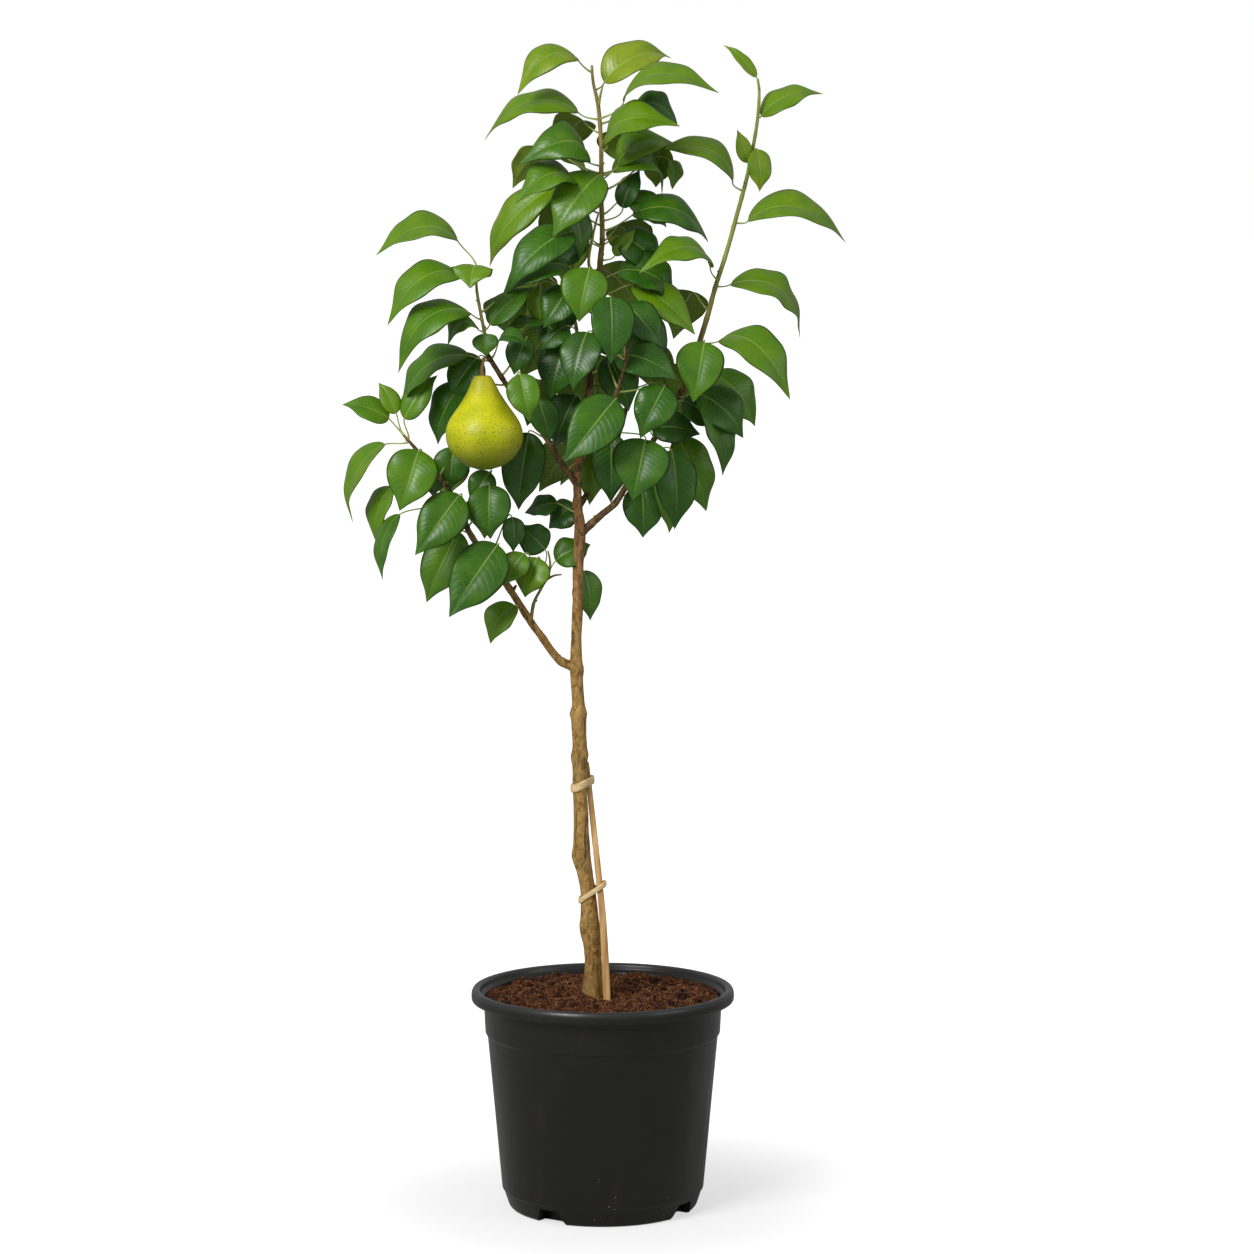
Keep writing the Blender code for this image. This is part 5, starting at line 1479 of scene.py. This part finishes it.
def leaf_material(name, under):
    """Leaf colour from the tone attribute, with midrib and side veins drawn along the blade."""
    look = Look(name, 0.52 if under else 0.34, 0.30 if under else 0.42)
    coordinates = look.node("UVMap")
    coordinates.uv_map = "blade"
    split = look.node("SeparateXYZ")
    look.link(coordinates.outputs["UV"], split.inputs["Vector"])
    offset = look.math("SUBTRACT", split.outputs["X"], 0.5)
    aside = look.math("MULTIPLY", look.math("ABSOLUTE", offset), 2.0)
    along = split.outputs["Y"]
    attribute = look.node("Attribute")
    attribute.attribute_name = "tone"
    channels = look.node("SeparateColor")
    look.link(attribute.outputs["Color"], channels.inputs["Color"])
    tone, chance = channels.outputs["Red"], channels.outputs["Green"]
    # Side veins leave the midrib forwards and bend towards the tip
    bend = look.math("MULTIPLY", look.math("POWER", aside, 1.5), 0.21)
    count = look.math("ADD", look.math("MULTIPLY", chance, 3.0), 11.0)
    right = look.math("MULTIPLY", look.math("GREATER_THAN", offset, 0.0), 0.46)
    phase = look.math("ADD", look.math("MULTIPLY", look.math("SUBTRACT", along, bend), count), right)
    wobble = look.math("MULTIPLY", look.noise(95.0, 2.0), 0.35)
    phase = look.math("FRACT", look.math("ADD", phase, wobble))
    away = look.math("ABSOLUTE", look.math("SUBTRACT", phase, 0.5))
    side_veins = look.range(away, 0.02, 0.085, 1.0, 0.0)
    edge_fade = look.range(aside, 0.62, 0.98, 1.0, 0.0)
    side_veins = look.math("MULTIPLY", side_veins, edge_fade)
    wide = look.range(along, 0.0, 0.9, 0.055, 0.016)
    midrib = look.range(look.math("DIVIDE", aside, wide), 0.45, 1.0, 1.0, 0.0)
    blotch = look.noise(55.0, 4.0)
    shifted = look.math("ADD", tone, look.math("MULTIPLY", look.math("SUBTRACT", blotch, 0.5), 0.55))
    if under:
        # Undersides are paler: partly their own paler colour, partly painted light standing in for light shining
        # through the blade.
        stops = ((0.0, (78, 108, 30)), (0.35, (100, 132, 34)), (0.7, (130, 158, 44)), (1.0, (158, 178, 66)))
        vein, rib = (186, 200, 128), (206, 212, 150)
    else:
        stops = (
            (0.0, (27, 66, 9)),
            (0.25, (50, 99, 13)),
            (0.55, (86, 132, 10)),
            (0.80, (112, 148, 9)),
            (1.0, (146, 164, 32)),
        )
        vein, rib = (120, 160, 60), (168, 196, 96)
    base = look.ramp(shifted, stops)
    # Tissue just beside the veins stays a little darker
    net = look.range(look.cells(900.0), 0.18, 0.42, 0.0, 0.07)
    base = look.mix(net, base, stops[1][1])
    base = look.mix(look.math("MULTIPLY", side_veins, 0.30 if under else 0.12), base, vein)
    base = look.mix(look.math("MULTIPLY", midrib, 0.65 if under else 0.42), base, rib)
    edge = look.math("MULTIPLY", look.range(aside, 0.90, 1.0), 0.5)
    base = look.mix(edge, base, (58, 70, 28))
    tip = look.range(along, 0.975, 1.0, 0.0, 0.85)
    base = look.mix(tip, base, (52, 38, 22))
    look.colour(base)
    raised = look.math("MULTIPLY", side_veins, 1.0 if under else -1.0)
    relief = look.math("ADD", raised, look.math("MULTIPLY", look.noise(300.0, 3.0), 0.6))
    puff = look.math("MULTIPLY", look.range(away, 0.0, 0.5), 0.0 if under else 0.5)
    look.bump(look.math("ADD", relief, puff), 0.0004, 0.3)
    if not under:
        gloss = look.noise(40.0, 3.0)
        look.roughness(look.range(gloss, 0.3, 0.7, 0.30, 0.44))
    return look.material


def stalk_material():
    look = Look("leaf_stalk", 0.45, 0.4)
    look.colour(look.ramp(look.noise(160.0, 3.0), ((0.3, (148, 164, 76)), (0.7, (180, 190, 108)))))
    look.bump(look.noise(700.0, 2.0), 0.0002, 0.5)
    return look.material


# ---------------------------------------------------------------- setting and assembly


def numbered(groups):
    """Each row of grouped leaves with its name."""
    for group, first, rows in groups:
        for number, row in enumerate(rows, first):
            yield f"{group}_{number}", row


def build_leaves(paths):
    """All leaves, each with its own seed."""
    looks = [leaf_material("leaf_upper", False), leaf_material("leaf_under", True), stalk_material()]
    for seed, (name, row) in enumerate(numbered(LEAVES), 1000):
        build_leaf(name + "_blade", row, paths, random.Random(seed), looks, [name])
    for seed, (name, row) in enumerate(numbered(INNER_LEAVES), 5000):
        build_leaf(name, row, paths, random.Random(seed), looks)


def build_floor():
    """A wide white floor running on into the white background. Its painted glow, seen only by the camera, is
    weaker near the pot, which paints a faint shade round it on top of the real shadow.
    """
    size = FLOOR_SIZE
    verts = [(-size, -size, 0.0), (size, -size, 0.0), (size, size, 0.0), (-size, size, 0.0)]
    floor = new_object("studio_floor", verts, [(0, 1, 2, 3)], smooth=False)
    look = Look("studio_white", 0.9, 0.1)
    look.shader.inputs["Base Color"].default_value = (FLOOR_GREY, FLOOR_GREY, FLOOR_GREY, 1.0)
    look.shader.inputs["Emission Color"].default_value = (1.0, 1.0, 1.0, 1.0)
    away = look.node("VectorMath")
    away.operation = "LENGTH"
    look.link(look.node("TexCoord").outputs["Object"], away.inputs[0])
    # Painted light: the camera alone sees the floor glow, which is weaker near the pot and so paints a faint shade
    # round it.
    white = look.range(
        away.outputs["Value"], GLOW_RISES_FROM, GLOW_RISES_TO, FLOOR_GLOW_NEAR, FLOOR_GLOW_FAR
    )
    path = look.node("LightPath")
    glow = look.math("MULTIPLY", path.outputs["Is Camera Ray"], white)
    look.link(glow, look.shader.inputs["Emission Strength"])
    floor.data.materials.append(look.material)


def build_world():
    """White behind everything, and a softer white as the fill light."""
    world = bpy.data.worlds.new("studio")
    world.use_nodes = True
    tree = world.node_tree
    tree.nodes.clear()
    output = tree.nodes.new("ShaderNodeOutputWorld")
    fill = tree.nodes.new("ShaderNodeBackground")
    seen = tree.nodes.new("ShaderNodeBackground")
    mix = tree.nodes.new("ShaderNodeMixShader")
    path = tree.nodes.new("ShaderNodeLightPath")
    fill.inputs["Color"].default_value = (1.0, 1.0, 1.0, 1.0)
    fill.inputs["Strength"].default_value = FILL_STRENGTH
    seen.inputs["Color"].default_value = (1.0, 1.0, 1.0, 1.0)
    seen.inputs["Strength"].default_value = 1.0
    tree.links.new(path.outputs["Is Camera Ray"], mix.inputs[0])
    tree.links.new(fill.outputs[0], mix.inputs[1])
    tree.links.new(seen.outputs[0], mix.inputs[2])
    tree.links.new(mix.outputs[0], output.inputs["Surface"])
    bpy.context.scene.world = world


def add_light(name, place, target, power):
    light = bpy.data.lights.new(name, "AREA")
    light.shape = "SQUARE"
    light.size = LIGHT_SIZE
    light.energy = power
    obj = linked(name, light)
    obj.location = place
    toward = Vector(target) - Vector(place)
    obj.rotation_euler = toward.to_track_quat("-Z", "Y").to_euler()


def build_camera():
    camera = bpy.data.cameras.new("camera")
    camera.lens = CAMERA_LENS
    camera.sensor_width = SENSOR
    obj = linked("camera", camera)
    obj.location = CAMERA_PLACE
    obj.rotation_euler = (math.radians(90.0 - CAMERA_PITCH), 0.0, 0.0)
    bpy.context.scene.camera = obj


def main():
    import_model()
    bark, young = bark_material("bark", False), young_material()
    limb_bark = bark_material("limb_bark", True)
    build_pot(pot_material())
    mix_colours = ((34, 18, 10), (74, 40, 22), (112, 64, 36), (156, 108, 68))
    build_soil(soil_material("potting_mix", mix_colours))
    build_crumbs(
        random.Random(11),
        soil_material("bark_crumbs", ((40, 22, 13), (86, 47, 27), (122, 74, 44), (164, 118, 78))),
        plain_noise_material("perlite", ((176, 158, 132), (222, 212, 196)), 0.9, 300.0),
        plain_noise_material("coir", ((104, 62, 34), (168, 116, 70)), 0.9, 200.0),
    )
    paths = build_wood(bark, limb_bark, young)
    build_stubs(limb_bark, young)
    build_buds(random.Random(23), bud_material())
    build_cane(cane_material())
    raffia = tie_material()
    for name, trunk_z, stake_z, band in TIES:
        build_tie(name, trunk_z, stake_z, band, raffia)
    calyx = plain_noise_material("calyx", ((60, 46, 26), (112, 92, 52)), 0.8, 500.0)
    stalk = plain_noise_material("fruit_stalk", ((122, 88, 52), (170, 132, 84)), 0.6, 400.0)
    build_pear(pear_material(), calyx, stalk)
    build_leaves(paths)
    build_floor()
    build_world()
    build_camera()
    add_light("key", (-1.9, -2.6, 2.7), (0.0, 0.0, 0.6), KEY_POWER)
    add_light("rim_fill", (2.4, -1.2, 1.6), (0.0, 0.0, 0.7), SIDE_POWER)
    bpy.context.scene.view_settings.view_transform = "Standard"


main()
